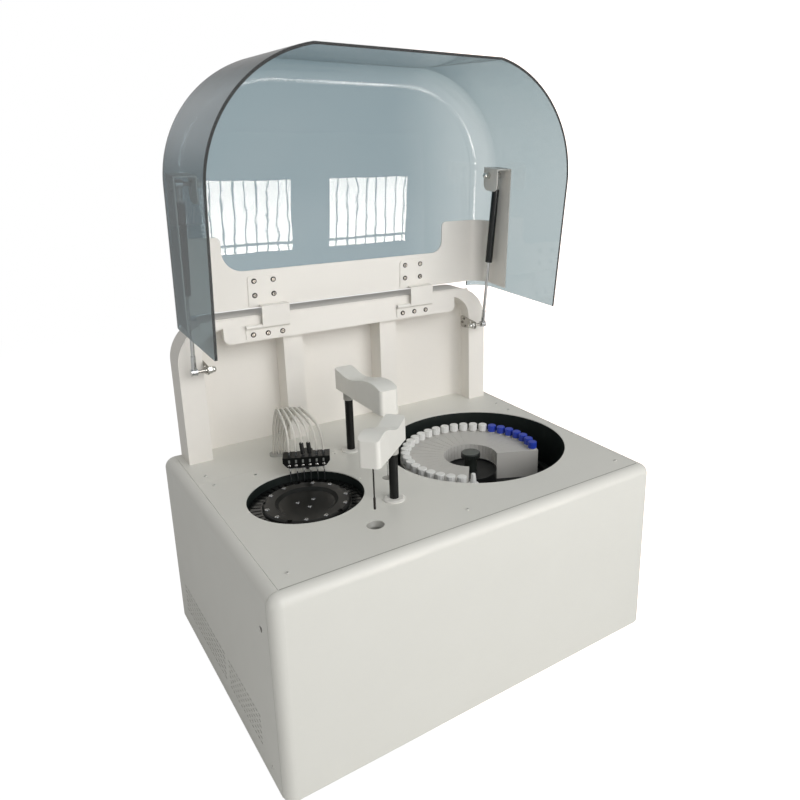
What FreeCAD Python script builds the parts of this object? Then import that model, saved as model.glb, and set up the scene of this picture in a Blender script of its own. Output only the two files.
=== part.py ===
import FreeCAD, Part
import math
import os

from FreeCAD import Vector

# Benchtop chemistry analyzer: a sheet-metal cabinet with a flat deck, a rotor of
# cuvettes, a carousel of reagent bottles, a sampling arm, a stirring arm, a wash
# head, and a tinted acrylic lid that stands open on two gas struts.
# Millimetres, +X to the right, +Y to the back, +Z up, origin on the bench under
# the middle of the cabinet.

# Cabinet
base_depth = 650
body_height = 400
foot_height = 18
foot_radius = 22
foot_taper = 3
foot_inset_x = 70
foot_inset_y = 70
sheet = 2
side_top_radius = 22
side_lip = 14
cover_depth = 22
cover_seam = 1.2
cover_edge_radius = 20
cover_bottom_radius = 4
pan_flange = 20
seam_gap = 0.5
deck_seam_y = 150
deck_left_margin = 71.5
deck_gap = 103.5
deck_right_margin = 40
overrun = 5
running_clearance = 0.05
bore_clearance = 0.1
soft_clearance = 0.3

# Side vents, rows of slots low on both sides
vent_bottom = 45
vent_height = 60
vent_rows = 6
coarse_vent_start = -12
coarse_vent_end = 280
coarse_vent_count = 14
fine_vent_start = -215
fine_vent_end = -30
fine_vent_count = 12
vent_slot_height = 3.5
vent_land = 5
side_hole_radius = 6
side_hole_inset = 58
side_hole_drop = 83
side_screw_inset = 65
side_screw_rise = 31

# Deck frame and rails
rail_width = 22
rail_height = 22
rail_inset = 37
rail_front_inset = 50
leg_width = 18

# Screws
screw_head_radius = 3.6
screw_head_height = 1.9
screw_shank_radius = 1.7
screw_grip = 6
screw_edge = 0.6
rear_screw_inset = 26
rear_screw_behind = 31
middle_screw_inset = 28
middle_screw_ahead = 24
front_screw_inset = 30
front_screw_behind = 38
single_screw_x = -16
single_screw_behind = 44

# Reaction side
reaction_y = -23.5
reaction_radius = 114.5
reaction_depth = 75
well_wall = 2
well_flange = 5.5
flange_thick = 3

# Reaction disc and cuvettes, heights counted down from the deck
disc_ring_drop = 11.5
disc_dish_drop = 16.5
disc_rim_drop = 14.5
disc_dish_radius = 55
disc_slope = 7
disc_ring_outer = 83
disc_rim_radius = 86
disc_thick = 5
disc_wall = 3
disc_flange_drop = 49
disc_flange_thick = 3
disc_hub_radius = 16
disc_hub_drop = 62
disc_screw_radius = 78.7
disc_pair_half_angle = 14
disc_pair_start = 44.7
disc_notch_start = 8.7
disc_notch_width = 10
disc_notch_depth = 6
hub_screw_radius = 18.3
hub_screw_start = 25
cuvette_segments = 5
cuvettes_per_segment = 9
cuvette_outer = 111.5
cuvette_drop = 18
cuvette_wall = 2.5
cuvette_slot = 4
cuvette_floor = 2
segment_gap = 1

# Reagent side
reagent_y = -6
reagent_radius = 208
reagent_depth = 104
carousel_offset = 15
reagent_positions = 39
reagent_first = -21
blue_count = 7
white_count = 21
bottle_pitch_radius = 152
bottle_inner = 62.5
bottle_outer = 163
bottle_top_drop = 26
bottle_seam = 0.6
bottle_corner = 1.5
tray_floor_drop = 92
tray_thick = 3
tray_rim_radius = 184
tray_rim_wall = 3
tray_rim_drop = 78
tray_hub_radius = 61.5
tray_hub_wall = 3
tray_hub_drop = 60
neck_radius = 9.5
neck_height = 3
cap_radius = 10.6
cap_height = 15.5
cap_ribs = 12
cap_rib = 0.5
cap_chamfer = 1
dropper_radius = 11.8
dropper_shoulder_drop = 21
dropper_cone_radius = 7
dropper_tip_radius = 4.8
dropper_cone_height = 20
knob_radius = 22.5
knob_drop = 18
knob_height = 12
knob_stem_radius = 15
knob_flutes = 24
knob_flute_radius = 1.2
spindle_radius = 8
spindle_grip = 20

# Rotor drives under the wells
motor_radius = 38
motor_height = 78
motor_flange_radius = 48
motor_flange_thick = 6

# Arms
column_radius = 9
collar_radius = 22
collar_rise = 4
collar_spigot = 14
arm_neck_radius = 11.5
arm_neck_height = 24
arm_width = 42
arm_corner = 8
arm_wall = 2
arm_plate = 3
arm_height = 59
arm_tail = 24
arm_nose = 20
arm_top_shares = ((0, 0.80), (0.12, 0.75), (0.33, 0.67), (0.58, 0.86), (0.80, 1), (0.93, 0.96), (1, 0.86))
sampling_gap = 57.5
sampling_y = 129
sampling_rise = 147
sampling_reach = 173
sampling_heading = -90
sampling_tip_rise = 2
stirring_gap = 20.5
stirring_y = -139
stirring_rise = 122
stirring_reach = 104
stirring_heading = -138.5
stirring_tip_rise = 32
needle_radius = 0.9
needle_head_radius = 4
needle_head_height = 18
stirrer_radius = 1.5
paddle_radius = 2.3
paddle_length = 22
lift_drop = 100
lift_travel = 45
carriage_height = 26
carriage_width = 84
carriage_depth = 34
shoulder_radius = 14
shoulder_height = 6
guide_rod_radius = 4
guide_rod_spread = 31
guide_plate_width = 88
guide_plate_depth = 48
guide_plate_thick = 6
sleeve_radius = 13
sleeve_length = 34
wash_well_radius = 13
wash_well_funnel = 4
wash_well_depth = 38
wash_well_wall = 2
wash_well_floor = 2
sampling_well_y = -46
stirring_well_gap = 57.5
stirring_well_y = -208
rear_hole_left = 50
rear_hole_ahead = 21
guide_hole_left = 4
guide_hole_ahead = 19

# Wash head over the cuvette ring, in a frame turned to its own heading
head_heading = 65.6
head_inner = 82.5
head_depth = 35
head_half_length = 48
head_rise = 24.5
head_height = 21.5
head_chamfer_x = 8
head_chamfer_z = 11
head_plate_length = 72
head_plate_depth = 26
head_plate_thick = 4
head_stations = 6
head_pitch = 13.96
head_row_spread = 10
head_needle_radius = 1.1
head_needle_drop = 13
barb_radius = 2.4
barb_height = 9
barb_bead = 0.5
head_post_radius = 6
head_post_offset = 14
head_post_drop = 85
head_arm_width = 24
head_arm_height = 12
head_bush_radius = 11
head_bush_length = 40

# Wash tubes from the head to a grommet in the deck
tube_radius = 1.9
grommet_x = -214
grommet_y = 196
grommet_half_length = 19
grommet_half_depth = 8
grommet_rise = 5
grommet_lip = 4
grommet_pitch = 5.6
grommet_row_spread = 6
tube_inside = 12
tube_rise = 52
tube_crest = 138
tube_fall = 46
tube_crest_share = 0.62
tube_row_step = 9

# Portal behind the deck, which carries the lid
portal_inset = 36
portal_front = 256
portal_back = 322
portal_height = 312
portal_corner = 90
post_width = 50
band_height = 20
portal_inner_corner = 60
portal_wall = 2
panel_back_gap = 2
panel_bend = 25
panel_lip = 3
member_width = 45
member_left = -161
member_right = 84
member_front = 266
beam_half_length = 296
beam_bottom = 255
beam_corner = 15
rail_half_length = 339
rail_drop = 2
rail_step = 0.5

# Hinges
hinge_y = 247
hinge_height = 288
lid_open_angle = 86.3
barrel_radius = 5
barrel_length = 98
knuckle_length = 62
knuckle_gap = 0.3
pin_radius = 2.5
leaf_thick = 2
leaf_drop = 31
leaf_screw_drop = 18
leaf_screw_spread = 33
hinge_left_x = -200
hinge_right_x = 174
leaf_box_height = 46
leaf_top = 110
leaf_screw_low = 67
leaf_screw_high = 99
leaf_screw_half = 21.3
leaf_half_width = 35
leaf_corner = 6

# Lid, built closed: v runs forward from the hinge axis, w runs down from it
lid_length = 553
lid_front_lean = 22
lid_front_trim = 5
lid_panel_w = -22
lid_rim_w = 287
lid_wall = 5
lid_straight_side = 306
lid_bend_radius = 52
lid_rear_top = 26
lid_rear_rim = 36
lid_rim_rise = 18
lid_rim_level = 330
bracket_sheet = 2.5
bracket_bottom = 39
bracket_side_gap = 1.5
bracket_middle = 122
bracket_side = 198
bracket_cut_left = -285
bracket_cut_right = 259
bracket_left_radius = 45
bracket_right_radius = 28
bracket_shoulder_radius = 12
bracket_flange = 90
strip_width = 54
strip_top = 334
tab_inset = 49
tab_length = 54
tab_corner = 16

# Gas struts
strut_inset = 24
lower_ball_y = 229
lower_ball_height = 214.5
upper_ball_y = 170
upper_ball_height = 600
strut_tube_radius = 9
strut_tube_bore = 7.5
strut_tube_start = 170.5
strut_tube_length = 185
strut_stroke = 91
strut_mouth = 10
strut_rod_radius = 4
piston_length = 8
piston_tail = 14
fitting_neck_radius = 5
fitting_neck_end = 37
fitting_radius = 8
fitting_width = 13
ball_radius = 5
stud_radius = 3.6
nut_radius = 6.5
nut_height = 6
bracket_plate = 2.5
bracket_reach = 62
bracket_height = 32
bracket_nose = 9
bracket_hole_radius = 4

# Inside the cabinet
supply_width = 160
supply_depth = 110
supply_height = 62
supply_side = 180
supply_behind = 95
board_width = 180
board_depth = 120
board_thick = 2
board_post = 12
board_post_radius = 4
board_chip = 24
board_side = 180
board_behind = 100
fan_size = 92
fan_depth = 25
fan_hub_radius = 18
fan_blades = 7
fan_ring = 3
fan_height = 150
fan_x = 120
blade_thick = 2
grille_rings = 4
grille_gap = 6
grille_land = 5
lamp_width = 64
lamp_depth = 78
lamp_height = 46
lamp_drop = 78
lens_radius = 12
lens_length = 18
pump_radius = 32
pump_length = 96
pump_x = 60
pump_y = -270
pump_foot = 8
inlet_width = 48
inlet_height = 28
inlet_depth = 26
inlet_socket_width = 28
inlet_socket_height = 20
inlet_socket_depth = 18
inlet_pin_length = 11
inlet_pin_width = 4
inlet_pin_thick = 2
inlet_pin_pitch = 7
inlet_side = 100
inlet_z = 70

# Places worked out from the sizes above: the cabinet is as wide as its two wells
# and what stands beside and between them
base_width = deck_left_margin + 2 * reaction_radius + deck_gap + 2 * reagent_radius + deck_right_margin
half_width = base_width / 2
half_depth = base_depth / 2
reaction_x = deck_left_margin + reaction_radius - half_width
reagent_x = half_width - deck_right_margin - reagent_radius
carousel_x = reagent_x - carousel_offset
carousel_y = reagent_y
gap_left = reaction_x + reaction_radius
sampling_x = gap_left + sampling_gap
stirring_x = gap_left + stirring_gap
sampling_well_x = sampling_x
stirring_well_x = gap_left - stirring_well_gap
portal_half_width = half_width - portal_inset
lid_half_width = portal_half_width
lid_plan_radius = lid_length - lid_straight_side
strut_x = lid_half_width - strut_inset
tab_x = lid_half_width - tab_inset
supply_x = half_width - supply_side
supply_y = half_depth - supply_behind
board_x = board_side - half_width
inlet_x = half_width - inlet_side
board_y = half_depth - board_behind
deck_top = foot_height + body_height
deck_under = deck_top - sheet
cover_back = cover_depth - half_depth
deck_half_width = half_width - side_top_radius
hinge_z = deck_top + hinge_height
full_turn = 360.0
right_angle = 90.0


def box(x0, x1, y0, y1, z0, z1):
    """A block between two corners."""
    return Part.makeBox(x1 - x0, y1 - y0, z1 - z0, Vector(x0, y0, z0))


def bar(radius, start, end):
    """A round bar between two points."""
    run = end - start
    return Part.makeCylinder(radius, run.Length, start, run)


def post(radius, x, y, z0, z1):
    """An upright round bar."""
    return Part.makeCylinder(radius, z1 - z0, Vector(x, y, z0))


def turned(points, x, y):
    """A solid turned about an upright axis, from (radius, z) points."""
    corners = [Vector(r, 0, z) for r, z in points]
    face = Part.Face(Part.makePolygon(corners + corners[:1]))
    solid = face.revolve(Vector(0, 0, 0), Vector(0, 0, 1), full_turn)
    solid.translate(Vector(x, y, 0))
    return solid


def polygon_prism(points, run):
    """A prism on a closed polygon."""
    return Part.Face(Part.makePolygon(points + points[:1])).extrude(run)


def rounded_face(corners, radii):
    """A flat face on a polygon whose corners are rounded by the given radii."""
    edges = []
    count = len(corners)
    ends = []
    for i in range(count):
        corner = corners[i]
        before = (corners[i - 1] - corner).normalize()
        after = (corners[(i + 1) % count] - corner).normalize()
        radius = radii[i]
        half = before.getAngle(after) / 2
        reach = radius / math.tan(half)
        entry = corner + before * reach
        leave = corner + after * reach
        if radius > 0:
            inward = (before + after).normalize()
            centre = corner + inward * (radius / math.sin(half))
            middle = centre - inward * radius
            edges.append((entry, Part.Arc(entry, middle, leave).toShape(), leave))
        else:
            edges.append((corner, None, corner))
        ends.append((edges[-1][0], edges[-1][2]))
    parts = []
    for i in range(count):
        if edges[i][1] is not None:
            parts.append(edges[i][1])
        start = ends[i][1]
        end = ends[(i + 1) % count][0]
        if (end - start).Length > running_clearance / full_turn:
            parts.append(Part.LineSegment(start, end).toShape())
    return Part.Face(Part.Wire(parts))


def fuse(shapes):
    """One solid from several that touch or overlap."""
    return shapes[0].multiFuse(shapes[1:]).removeSplitter()


def cut(shape, tools):
    """The shape with all the tools taken out."""
    return shape.cut(Part.makeCompound(tools))


def polar(x, y, radius, angle):
    """A point at a radius and a heading from a centre."""
    turn = math.radians(angle)
    return x + radius * math.cos(turn), y + radius * math.sin(turn)


def turned_copy(shape, x, y, angle):
    """A copy turned about an upright axis."""
    copy = shape.copy()
    copy.rotate(Vector(x, y, 0), Vector(0, 0, 1), angle)
    return copy


def mirrored(shape):
    """The same piece on the other side of the cabinet."""
    return shape.mirror(Vector(0, 0, 0), Vector(1, 0, 0))


def save(name, shapes):
    """Write one piece, or one group of like pieces."""
    shape = shapes[0] if len(shapes) == 1 else Part.makeCompound(shapes)
    shape.exportStep(os.path.join("parts", name + ".step"))


def screw(seat, direction):
    """A pan-head screw seated at a point, its head along the direction."""
    head = Part.makeCylinder(screw_head_radius, screw_head_height, seat, direction)
    rim = [e for e in head.Edges if (e.CenterOfMass - seat).Length > screw_head_height / 2]
    head = head.makeChamfer(screw_edge, [e for e in rim if len(e.Vertexes) == 1])
    shank = Part.makeCylinder(screw_shank_radius, screw_grip, seat, direction * -1)
    return head.fuse(shank)


def screw_hole(seat, direction):
    """The hole that a screw's shank passes and grips."""
    radius = screw_shank_radius + bore_clearance
    start = seat + direction * overrun
    return Part.makeCylinder(radius, screw_grip + overrun + bore_clearance, start, direction * -1)


def deck_screw_seats():
    """Places of the deck's screws, on the deck's top."""
    rear = (deck_half_width - rear_screw_inset, deck_seam_y + rear_screw_behind)
    middle = (deck_half_width - middle_screw_inset, deck_seam_y - middle_screw_ahead)
    front = (deck_half_width - front_screw_inset, cover_back + front_screw_behind)
    spots = [(side * x, y) for x, y in (rear, middle, front) for side in (-1, 1)]
    spots.append((single_screw_x, cover_back + single_screw_behind))
    return [Vector(x, y, deck_top) for x, y in spots]


def side_screw_seat(side):
    """Place of the screw low on a side panel."""
    return Vector(side * half_width, side_screw_inset - half_depth, foot_height + side_screw_rise)


def make_feet():
    """Four tapered rubber feet."""
    points = [(0, 0), (foot_radius - foot_taper, 0), (foot_radius, foot_height), (0, foot_height)]
    spots = [(sx * (half_width - foot_inset_x), sy * (half_depth - foot_inset_y))
             for sx in (-1, 1) for sy in (-1, 1)]
    return [turned(points, x, y) for x, y in spots]


def make_base_pan():
    """The floor of the cabinet, with an upturned edge."""
    x = half_width - sheet
    back = half_depth - sheet
    outer = box(-x, x, cover_back, back, foot_height, foot_height + pan_flange)
    inner = box(-x + sheet, x - sheet, cover_back + sheet, back - sheet,
                foot_height + sheet, foot_height + pan_flange + overrun)
    return outer.cut(inner)


def vent_slots(side, start, end, count):
    """Rows of slots through a side panel, over one stretch of its length."""
    pitch = (end - start) / count
    row_pitch = vent_height / (vent_rows - 1)
    x = side * half_width
    slots = []
    for row in range(vent_rows):
        z = foot_height + vent_bottom + row * row_pitch
        for i in range(count):
            y = start + i * pitch
            slots.append(box(x - overrun, x + overrun, y, y + pitch - vent_land,
                             z - vent_slot_height / 2, z + vent_slot_height / 2))
    return slots


def make_side_panel(side):
    """A side of the cabinet, rolled over into the deck along its top."""
    back = half_depth
    x = half_width
    bend_x = x - side_top_radius
    bend_z = deck_top - side_top_radius
    start = cover_back + cover_seam
    length = back - start
    quarter = math.sqrt(0.5)

    def bend(radius):
        return [Vector(bend_x + radius, start, bend_z),
                Vector(bend_x + radius * quarter, start, bend_z + radius * quarter),
                Vector(bend_x, start, bend_z + radius)]

    outer = bend(side_top_radius)
    inner = bend(side_top_radius - sheet)
    foot_out = Vector(x, start, foot_height)
    foot_in = Vector(x - sheet, start, foot_height)
    wire = Part.Wire([
        Part.LineSegment(foot_out, outer[0]).toShape(),
        Part.Arc(*outer).toShape(),
        Part.LineSegment(outer[2], inner[2]).toShape(),
        Part.Arc(*inner[::-1]).toShape(),
        Part.LineSegment(inner[0], foot_in).toShape(),
        Part.LineSegment(foot_in, foot_out).toShape()])
    shell = Part.Face(wire).extrude(Vector(0, length, 0))
    lip = box(bend_x, bend_x + sheet, start, back - sheet, deck_top - side_lip, deck_under + sheet / 4)
    panel = fuse([shell, lip])
    if side < 0:
        panel = mirrored(panel)
    tools = vent_slots(side, coarse_vent_start, coarse_vent_end, coarse_vent_count)
    tools += vent_slots(side, fine_vent_start, fine_vent_end, fine_vent_count)
    hole_y = side_hole_inset - half_depth
    hole_z = deck_top - side_hole_drop
    tools.append(bar(side_hole_radius, Vector(side * (x - overrun), hole_y, hole_z),
                     Vector(side * (x + overrun), hole_y, hole_z)))
    tools.append(screw_hole(side_screw_seat(side), Vector(side, 0, 0)))
    return cut(panel, tools)


def cover_form(inset):
    """The front cover's outer form, drawn in by an inset on its closed sides."""
    x = half_width - inset
    front = inset - half_depth
    z0 = foot_height + inset
    z1 = deck_top - inset
    form = box(-x, x, front, cover_back, z0, z1)
    shoulders = [e for e in form.Edges
                 if abs(e.CenterOfMass.z - z1) < bore_clearance
                 and abs(abs(e.CenterOfMass.x) - x) < bore_clearance]
    form = form.makeFillet(side_top_radius - inset, shoulders)
    soft = []
    bottom = []
    for edge in form.Edges:
        middle = edge.CenterOfMass
        if abs(middle.y - front) > bore_clearance:
            continue
        if abs(middle.z - z0) < bore_clearance:
            bottom.append(edge)
        else:
            soft.append(edge)
    form = form.makeFillet(cover_edge_radius - inset, soft)
    bottom = [e for e in form.Edges
              if abs(e.CenterOfMass.z - z0) < bore_clearance
              and abs(e.CenterOfMass.y - front) < bore_clearance]
    if cover_bottom_radius > inset:
        form = form.makeFillet(cover_bottom_radius - inset, bottom)
    return form


def make_front_cover():
    """The pressed front cover, a shallow tray with soft edges, open to the back."""
    cavity = cover_form(sheet)
    back = cavity.copy()
    back.translate(Vector(0, overrun, 0))
    return cover_form(0).cut(cavity.fuse(back))


def grille_tools():
    """Ring slots of the fan's grille, each in four arcs."""
    y0 = half_depth - sheet - overrun
    y1 = half_depth + overrun
    tools = []
    for ring in range(grille_rings):
        inner = fan_hub_radius / 2 + ring * (grille_gap + grille_land)
        outer = inner + grille_gap
        start = Vector(fan_x, y0, foot_height + fan_height)
        end = Vector(fan_x, y1, foot_height + fan_height)
        tools.append(bar(outer, start, end).cut(bar(inner, start, end)))
    spokes = []
    reach = fan_size / 2
    z = foot_height + fan_height
    spokes.append(box(fan_x - reach, fan_x + reach, y0, y1, z - grille_land / 2, z + grille_land / 2))
    spokes.append(box(fan_x - grille_land / 2, fan_x + grille_land / 2, y0, y1, z - reach, z + reach))
    return [tool.cut(Part.makeCompound(spokes)) for tool in tools]


def make_rear_panel():
    """The back of the cabinet, with the fan's grille and the inlet's cut-out."""
    x = half_width - sheet
    y = half_depth - sheet
    corners = [Vector(-x, y, foot_height), Vector(x, y, foot_height), Vector(x, y, deck_under),
               Vector(-x, y, deck_under)]
    bend = side_top_radius - sheet
    panel = rounded_face(corners, [0, 0, bend, bend]).extrude(Vector(0, sheet, 0))
    z = foot_height + inlet_z
    inlet = box(inlet_x - inlet_width / 2, inlet_x + inlet_width / 2, half_depth - sheet - overrun,
                half_depth + overrun, z - inlet_height / 2, z + inlet_height / 2)
    return cut(panel, grille_tools() + [inlet])


def deck_openings():
    """Everything that is cut through the deck."""
    low = deck_under - overrun
    high = deck_top + overrun
    spigot = collar_spigot + bore_clearance
    tools = [
        post(reaction_radius, reaction_x, reaction_y, low, high),
        post(reagent_radius, reagent_x, reagent_y, low, high),
        post(spigot, sampling_x, sampling_y, low, high),
        post(spigot, stirring_x, stirring_y, low, high),
        post(wash_well_radius + wash_well_funnel, stirring_well_x, stirring_well_y, low, high),
        post(wash_well_radius, sampling_well_x, sampling_well_y, low, high)]
    holes = ((reaction_x - rear_hole_left, deck_seam_y - rear_hole_ahead),
             (stirring_x - guide_hole_left, deck_seam_y - guide_hole_ahead))
    for x, y in holes:
        tools.append(post(screw_head_radius, x, y, low, high))
    x, y = polar(reaction_x, reaction_y, head_post_centre(), head_heading)
    tools.append(post(head_post_radius + bore_clearance * 2, x, y, low, high))
    tools.append(grommet_form(0, low, high))
    tools += [screw_hole(seat, Vector(0, 0, 1)) for seat in deck_screw_seats()]
    return tools


def make_deck_front_plate():
    """The front deck plate, with most of both wells' openings."""
    x = deck_half_width - seam_gap
    plate = box(-x, x, cover_back + cover_seam, deck_seam_y - seam_gap / 2, deck_under, deck_top)
    return cut(plate, deck_openings())


def make_deck_rear_plate():
    """The rear deck plate, which carries the portal."""
    x = deck_half_width - seam_gap
    plate = box(-x, x, deck_seam_y + seam_gap / 2, half_depth, deck_under, deck_top)
    return cut(plate, deck_openings())


def make_deck_frame():
    """The rails under the deck's edges and their legs, welded into one frame."""
    top = deck_under
    low = top - rail_height
    outer = deck_half_width - rail_inset + rail_width
    inner = outer - rail_width
    front = cover_back + rail_front_inset - rail_width / 2 - overrun
    back = half_depth - sheet * 2
    well_edge = reagent_radius + well_wall + well_flange * 2
    reach = math.sqrt(max(well_edge ** 2 - (inner - reagent_x) ** 2, 0))
    rails = [
        box(-outer, -inner, front, back, low, top),
        box(-outer, outer, front, front + rail_width, low, top),
        box(-outer, outer, back - rail_width, back, low, top),
        box(inner, outer, front, reagent_y - reach, low, top),
        box(inner, outer, reagent_y + reach, back, low, top),
        box(-outer, reaction_x + reaction_radius, deck_seam_y - rail_width / 2,
            deck_seam_y + rail_width / 2, low, top)]
    for x in (-outer, outer - leg_width):
        for y in (front, back - leg_width):
            rails.append(box(x, x + leg_width, y, y + leg_width, foot_height + sheet, low))
    holes = [screw_hole(seat, Vector(0, 0, 1)) for seat in deck_screw_seats()]
    well = wash_well_radius + wash_well_funnel + wash_well_wall + bore_clearance
    for x, y in ((sampling_well_x, sampling_well_y), (stirring_well_x, stirring_well_y)):
        holes.append(post(well, x, y, low - overrun, top + overrun))
    return cut(fuse(rails), holes)


def make_cover_screws():
    """The deck's screws and one low on each side."""
    screws = [screw(seat, Vector(0, 0, 1)) for seat in deck_screw_seats()]
    screws += [screw(side_screw_seat(side), Vector(side, 0, 0)) for side in (-1, 1)]
    return screws


def portal_face(inset, z0):
    """The portal's upside-down U, drawn in by an inset, in the plane of its front."""
    half = portal_half_width - inset
    inner = portal_half_width - post_width + inset
    top = deck_top + portal_height - inset
    band = deck_top + portal_height - band_height + inset
    corners = [Vector(-half, portal_front, z0), Vector(-half, portal_front, top),
               Vector(half, portal_front, top), Vector(half, portal_front, z0),
               Vector(inner, portal_front, z0), Vector(inner, portal_front, band),
               Vector(-inner, portal_front, band), Vector(-inner, portal_front, z0)]
    outer_radius = portal_corner - inset
    inner_radius = portal_inner_corner + inset
    return rounded_face(corners, [0, outer_radius, outer_radius, 0, 0, inner_radius, inner_radius, 0])


def make_portal_frame():
    """The white portal, a hollow box section that stands on the deck."""
    depth = portal_back - portal_front
    outer = portal_face(0, deck_top).extrude(Vector(0, depth, 0))
    hollow = portal_face(portal_wall, deck_top - overrun).extrude(Vector(0, depth - 2 * portal_wall, 0))
    hollow.translate(Vector(0, portal_wall, 0))
    holes = [screw_hole(seat, direction) for seat, direction in bracket_screw_seats()]
    return cut(outer, [hollow] + holes)


def make_back_panel():
    """The sheet that closes the portal's back, curved forward to its posts."""
    x = portal_half_width - post_width
    back = portal_back - panel_back_gap
    front = back - panel_bend - panel_lip
    z0 = deck_top
    corners = [Vector(-x, front, z0), Vector(-x, back, z0), Vector(x, back, z0), Vector(x, front, z0),
               Vector(x - sheet, front, z0), Vector(x - sheet, back - sheet, z0),
               Vector(-x + sheet, back - sheet, z0), Vector(-x + sheet, front, z0)]
    inner = panel_bend - sheet
    radii = [0, panel_bend, panel_bend, 0, 0, inner, inner, 0]
    top = deck_top + portal_height - band_height
    panel = rounded_face(corners, radii).extrude(Vector(0, 0, top - z0))
    room = portal_face(0, deck_top).extrude(Vector(0, portal_back - portal_front, 0))
    return panel.cut(room)


def make_support_members():
    """Two box sections from the deck to the portal's band."""
    top = deck_top + portal_height - band_height
    back = portal_back - panel_back_gap - sheet
    members = []
    for x in (member_left, member_right):
        outer = box(x, x + member_width, member_front, back, deck_top, top)
        inner = box(x + sheet, x + member_width - sheet, member_front + sheet, back - sheet,
                    deck_top - overrun, top + overrun)
        members.append(outer.cut(inner))
    return members


def make_hinge_beam():
    """The bar that carries the hinges, with the longer rail above it."""
    front = hinge_y + barrel_radius
    top = deck_top + portal_height - band_height
    x = beam_half_length
    z0 = deck_top + beam_bottom
    corners = [Vector(-x, front, z0), Vector(x, front, z0), Vector(x, front, top), Vector(-x, front, top)]
    face = rounded_face(corners, [beam_corner, beam_corner, 0, 0])
    beam = face.extrude(Vector(0, member_front - front, 0))
    rail = box(-rail_half_length, rail_half_length, front + rail_step, portal_front,
               top, deck_top + portal_height - rail_drop)
    corner_clear = portal_face(0, deck_top).extrude(Vector(0, portal_back - portal_front, 0))
    holes = [screw_hole(seat, direction) for seat, direction in leaf_screw_seats()]
    return cut(fuse([beam, rail]), holes + [corner_clear])


def leaf_screw_seats():
    """Seats of the screws that hold the lower hinge leaves."""
    seats = []
    y = hinge_y + barrel_radius - leaf_thick
    for x in (hinge_left_x, hinge_right_x):
        for i in (-1, 0, 1):
            seats.append((Vector(x + i * leaf_screw_spread, y, hinge_z - leaf_screw_drop),
                          Vector(0, -1, 0)))
    return seats


def barrel(x0, x1):
    """A stretch of hinge barrel with its bore."""
    start = Vector(x0, hinge_y, hinge_z)
    end = Vector(x1, hinge_y, hinge_z)
    return bar(barrel_radius, start, end).cut(bar(pin_radius + running_clearance, start, end))


def make_hinge_leaves_lower():
    """The hinge leaves on the beam, each with its knuckle."""
    leaves = []
    back = hinge_y + barrel_radius
    for x in (hinge_left_x, hinge_right_x):
        x0 = x - barrel_length / 2
        x1 = x + barrel_length / 2
        knuckle_end = x1 - knuckle_length - knuckle_gap
        top = hinge_z - barrel_radius - knuckle_gap
        low = hinge_z - leaf_drop
        corners = [Vector(x0, back - leaf_thick, low), Vector(x1, back - leaf_thick, low),
                   Vector(x1, back - leaf_thick, top), Vector(x0, back - leaf_thick, top)]
        plate = rounded_face(corners, [leaf_corner, leaf_corner, 0, 0]).extrude(Vector(0, leaf_thick, 0))
        ear = box(x0, knuckle_end, back - leaf_thick, back, low + leaf_corner, hinge_z)
        ear = ear.cut(bar(pin_radius + running_clearance, Vector(x0, hinge_y, hinge_z),
                          Vector(x1, hinge_y, hinge_z)))
        leaf = fuse([plate, ear, barrel(x0, knuckle_end)])
        leaves.append(cut(leaf, [screw_hole(seat, direction) for seat, direction in leaf_screw_seats()]))
    return leaves


def make_hinge_pins():
    """The hinge pins, a little longer than their barrels."""
    pins = []
    for x in (hinge_left_x, hinge_right_x):
        x0 = x - barrel_length / 2 - knuckle_gap
        x1 = x + barrel_length / 2 + knuckle_gap
        pins.append(bar(pin_radius, Vector(x0, hinge_y, hinge_z), Vector(x1, hinge_y, hinge_z)))
    return pins


def make_portal_screws():
    """The screws of the lower hinge leaves and of the strut brackets."""
    return [screw(seat, direction) for seat, direction in leaf_screw_seats() + bracket_screw_seats()]


def bracket_seat_height():
    """Height of the middle of a strut bracket."""
    return deck_top + lower_ball_height


def bracket_screw_seats():
    """Seats of the screws of both strut brackets, on the posts' inner faces."""
    seats = []
    z = bracket_seat_height()
    face = portal_half_width - post_width - bracket_plate
    third = bracket_height / 3
    back = lower_ball_y + bracket_reach
    spots = ((back - third * 2, z - third), (back - third * 1.4, z + third * 0.8),
             (back - third * 0.7, z - third * 0.2))
    for side in (-1, 1):
        for y, height in spots:
            seats.append((Vector(side * face, y, height), Vector(-side, 0, 0)))
    return seats


def make_strut_brackets():
    """The plates on the posts that hold the struts' lower ball studs."""
    z = bracket_seat_height()
    face = portal_half_width - post_width
    front = lower_ball_y - bracket_nose
    back = lower_ball_y + bracket_reach
    half = bracket_height / 2
    nose = bracket_nose
    plates = []
    for side in (-1, 1):
        x = side * face
        corners = [Vector(x, front, z - nose), Vector(x, back, z - half),
                   Vector(x, back, z + half), Vector(x, front, z + nose)]
        radii = [nose * 0.8, nose * 0.7, nose * 0.7, nose * 0.8]
        plate = rounded_face(corners, radii).extrude(Vector(-side * bracket_plate, 0, 0))
        hole = bar(stud_radius + bore_clearance, Vector(x + side * overrun, lower_ball_y, z),
                   Vector(x - side * (bracket_plate + overrun), lower_ball_y, z))
        slot_y = lower_ball_y + bracket_nose * 1.9
        slot = bar(bracket_hole_radius, Vector(x + side * overrun, slot_y, z + nose * 0.5),
                   Vector(x - side * (bracket_plate + overrun), slot_y, z + nose * 0.5))
        holes = [screw_hole(seat, direction) for seat, direction in bracket_screw_seats()]
        plates.append(cut(plate, [hole, slot] + holes))
    return plates


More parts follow.
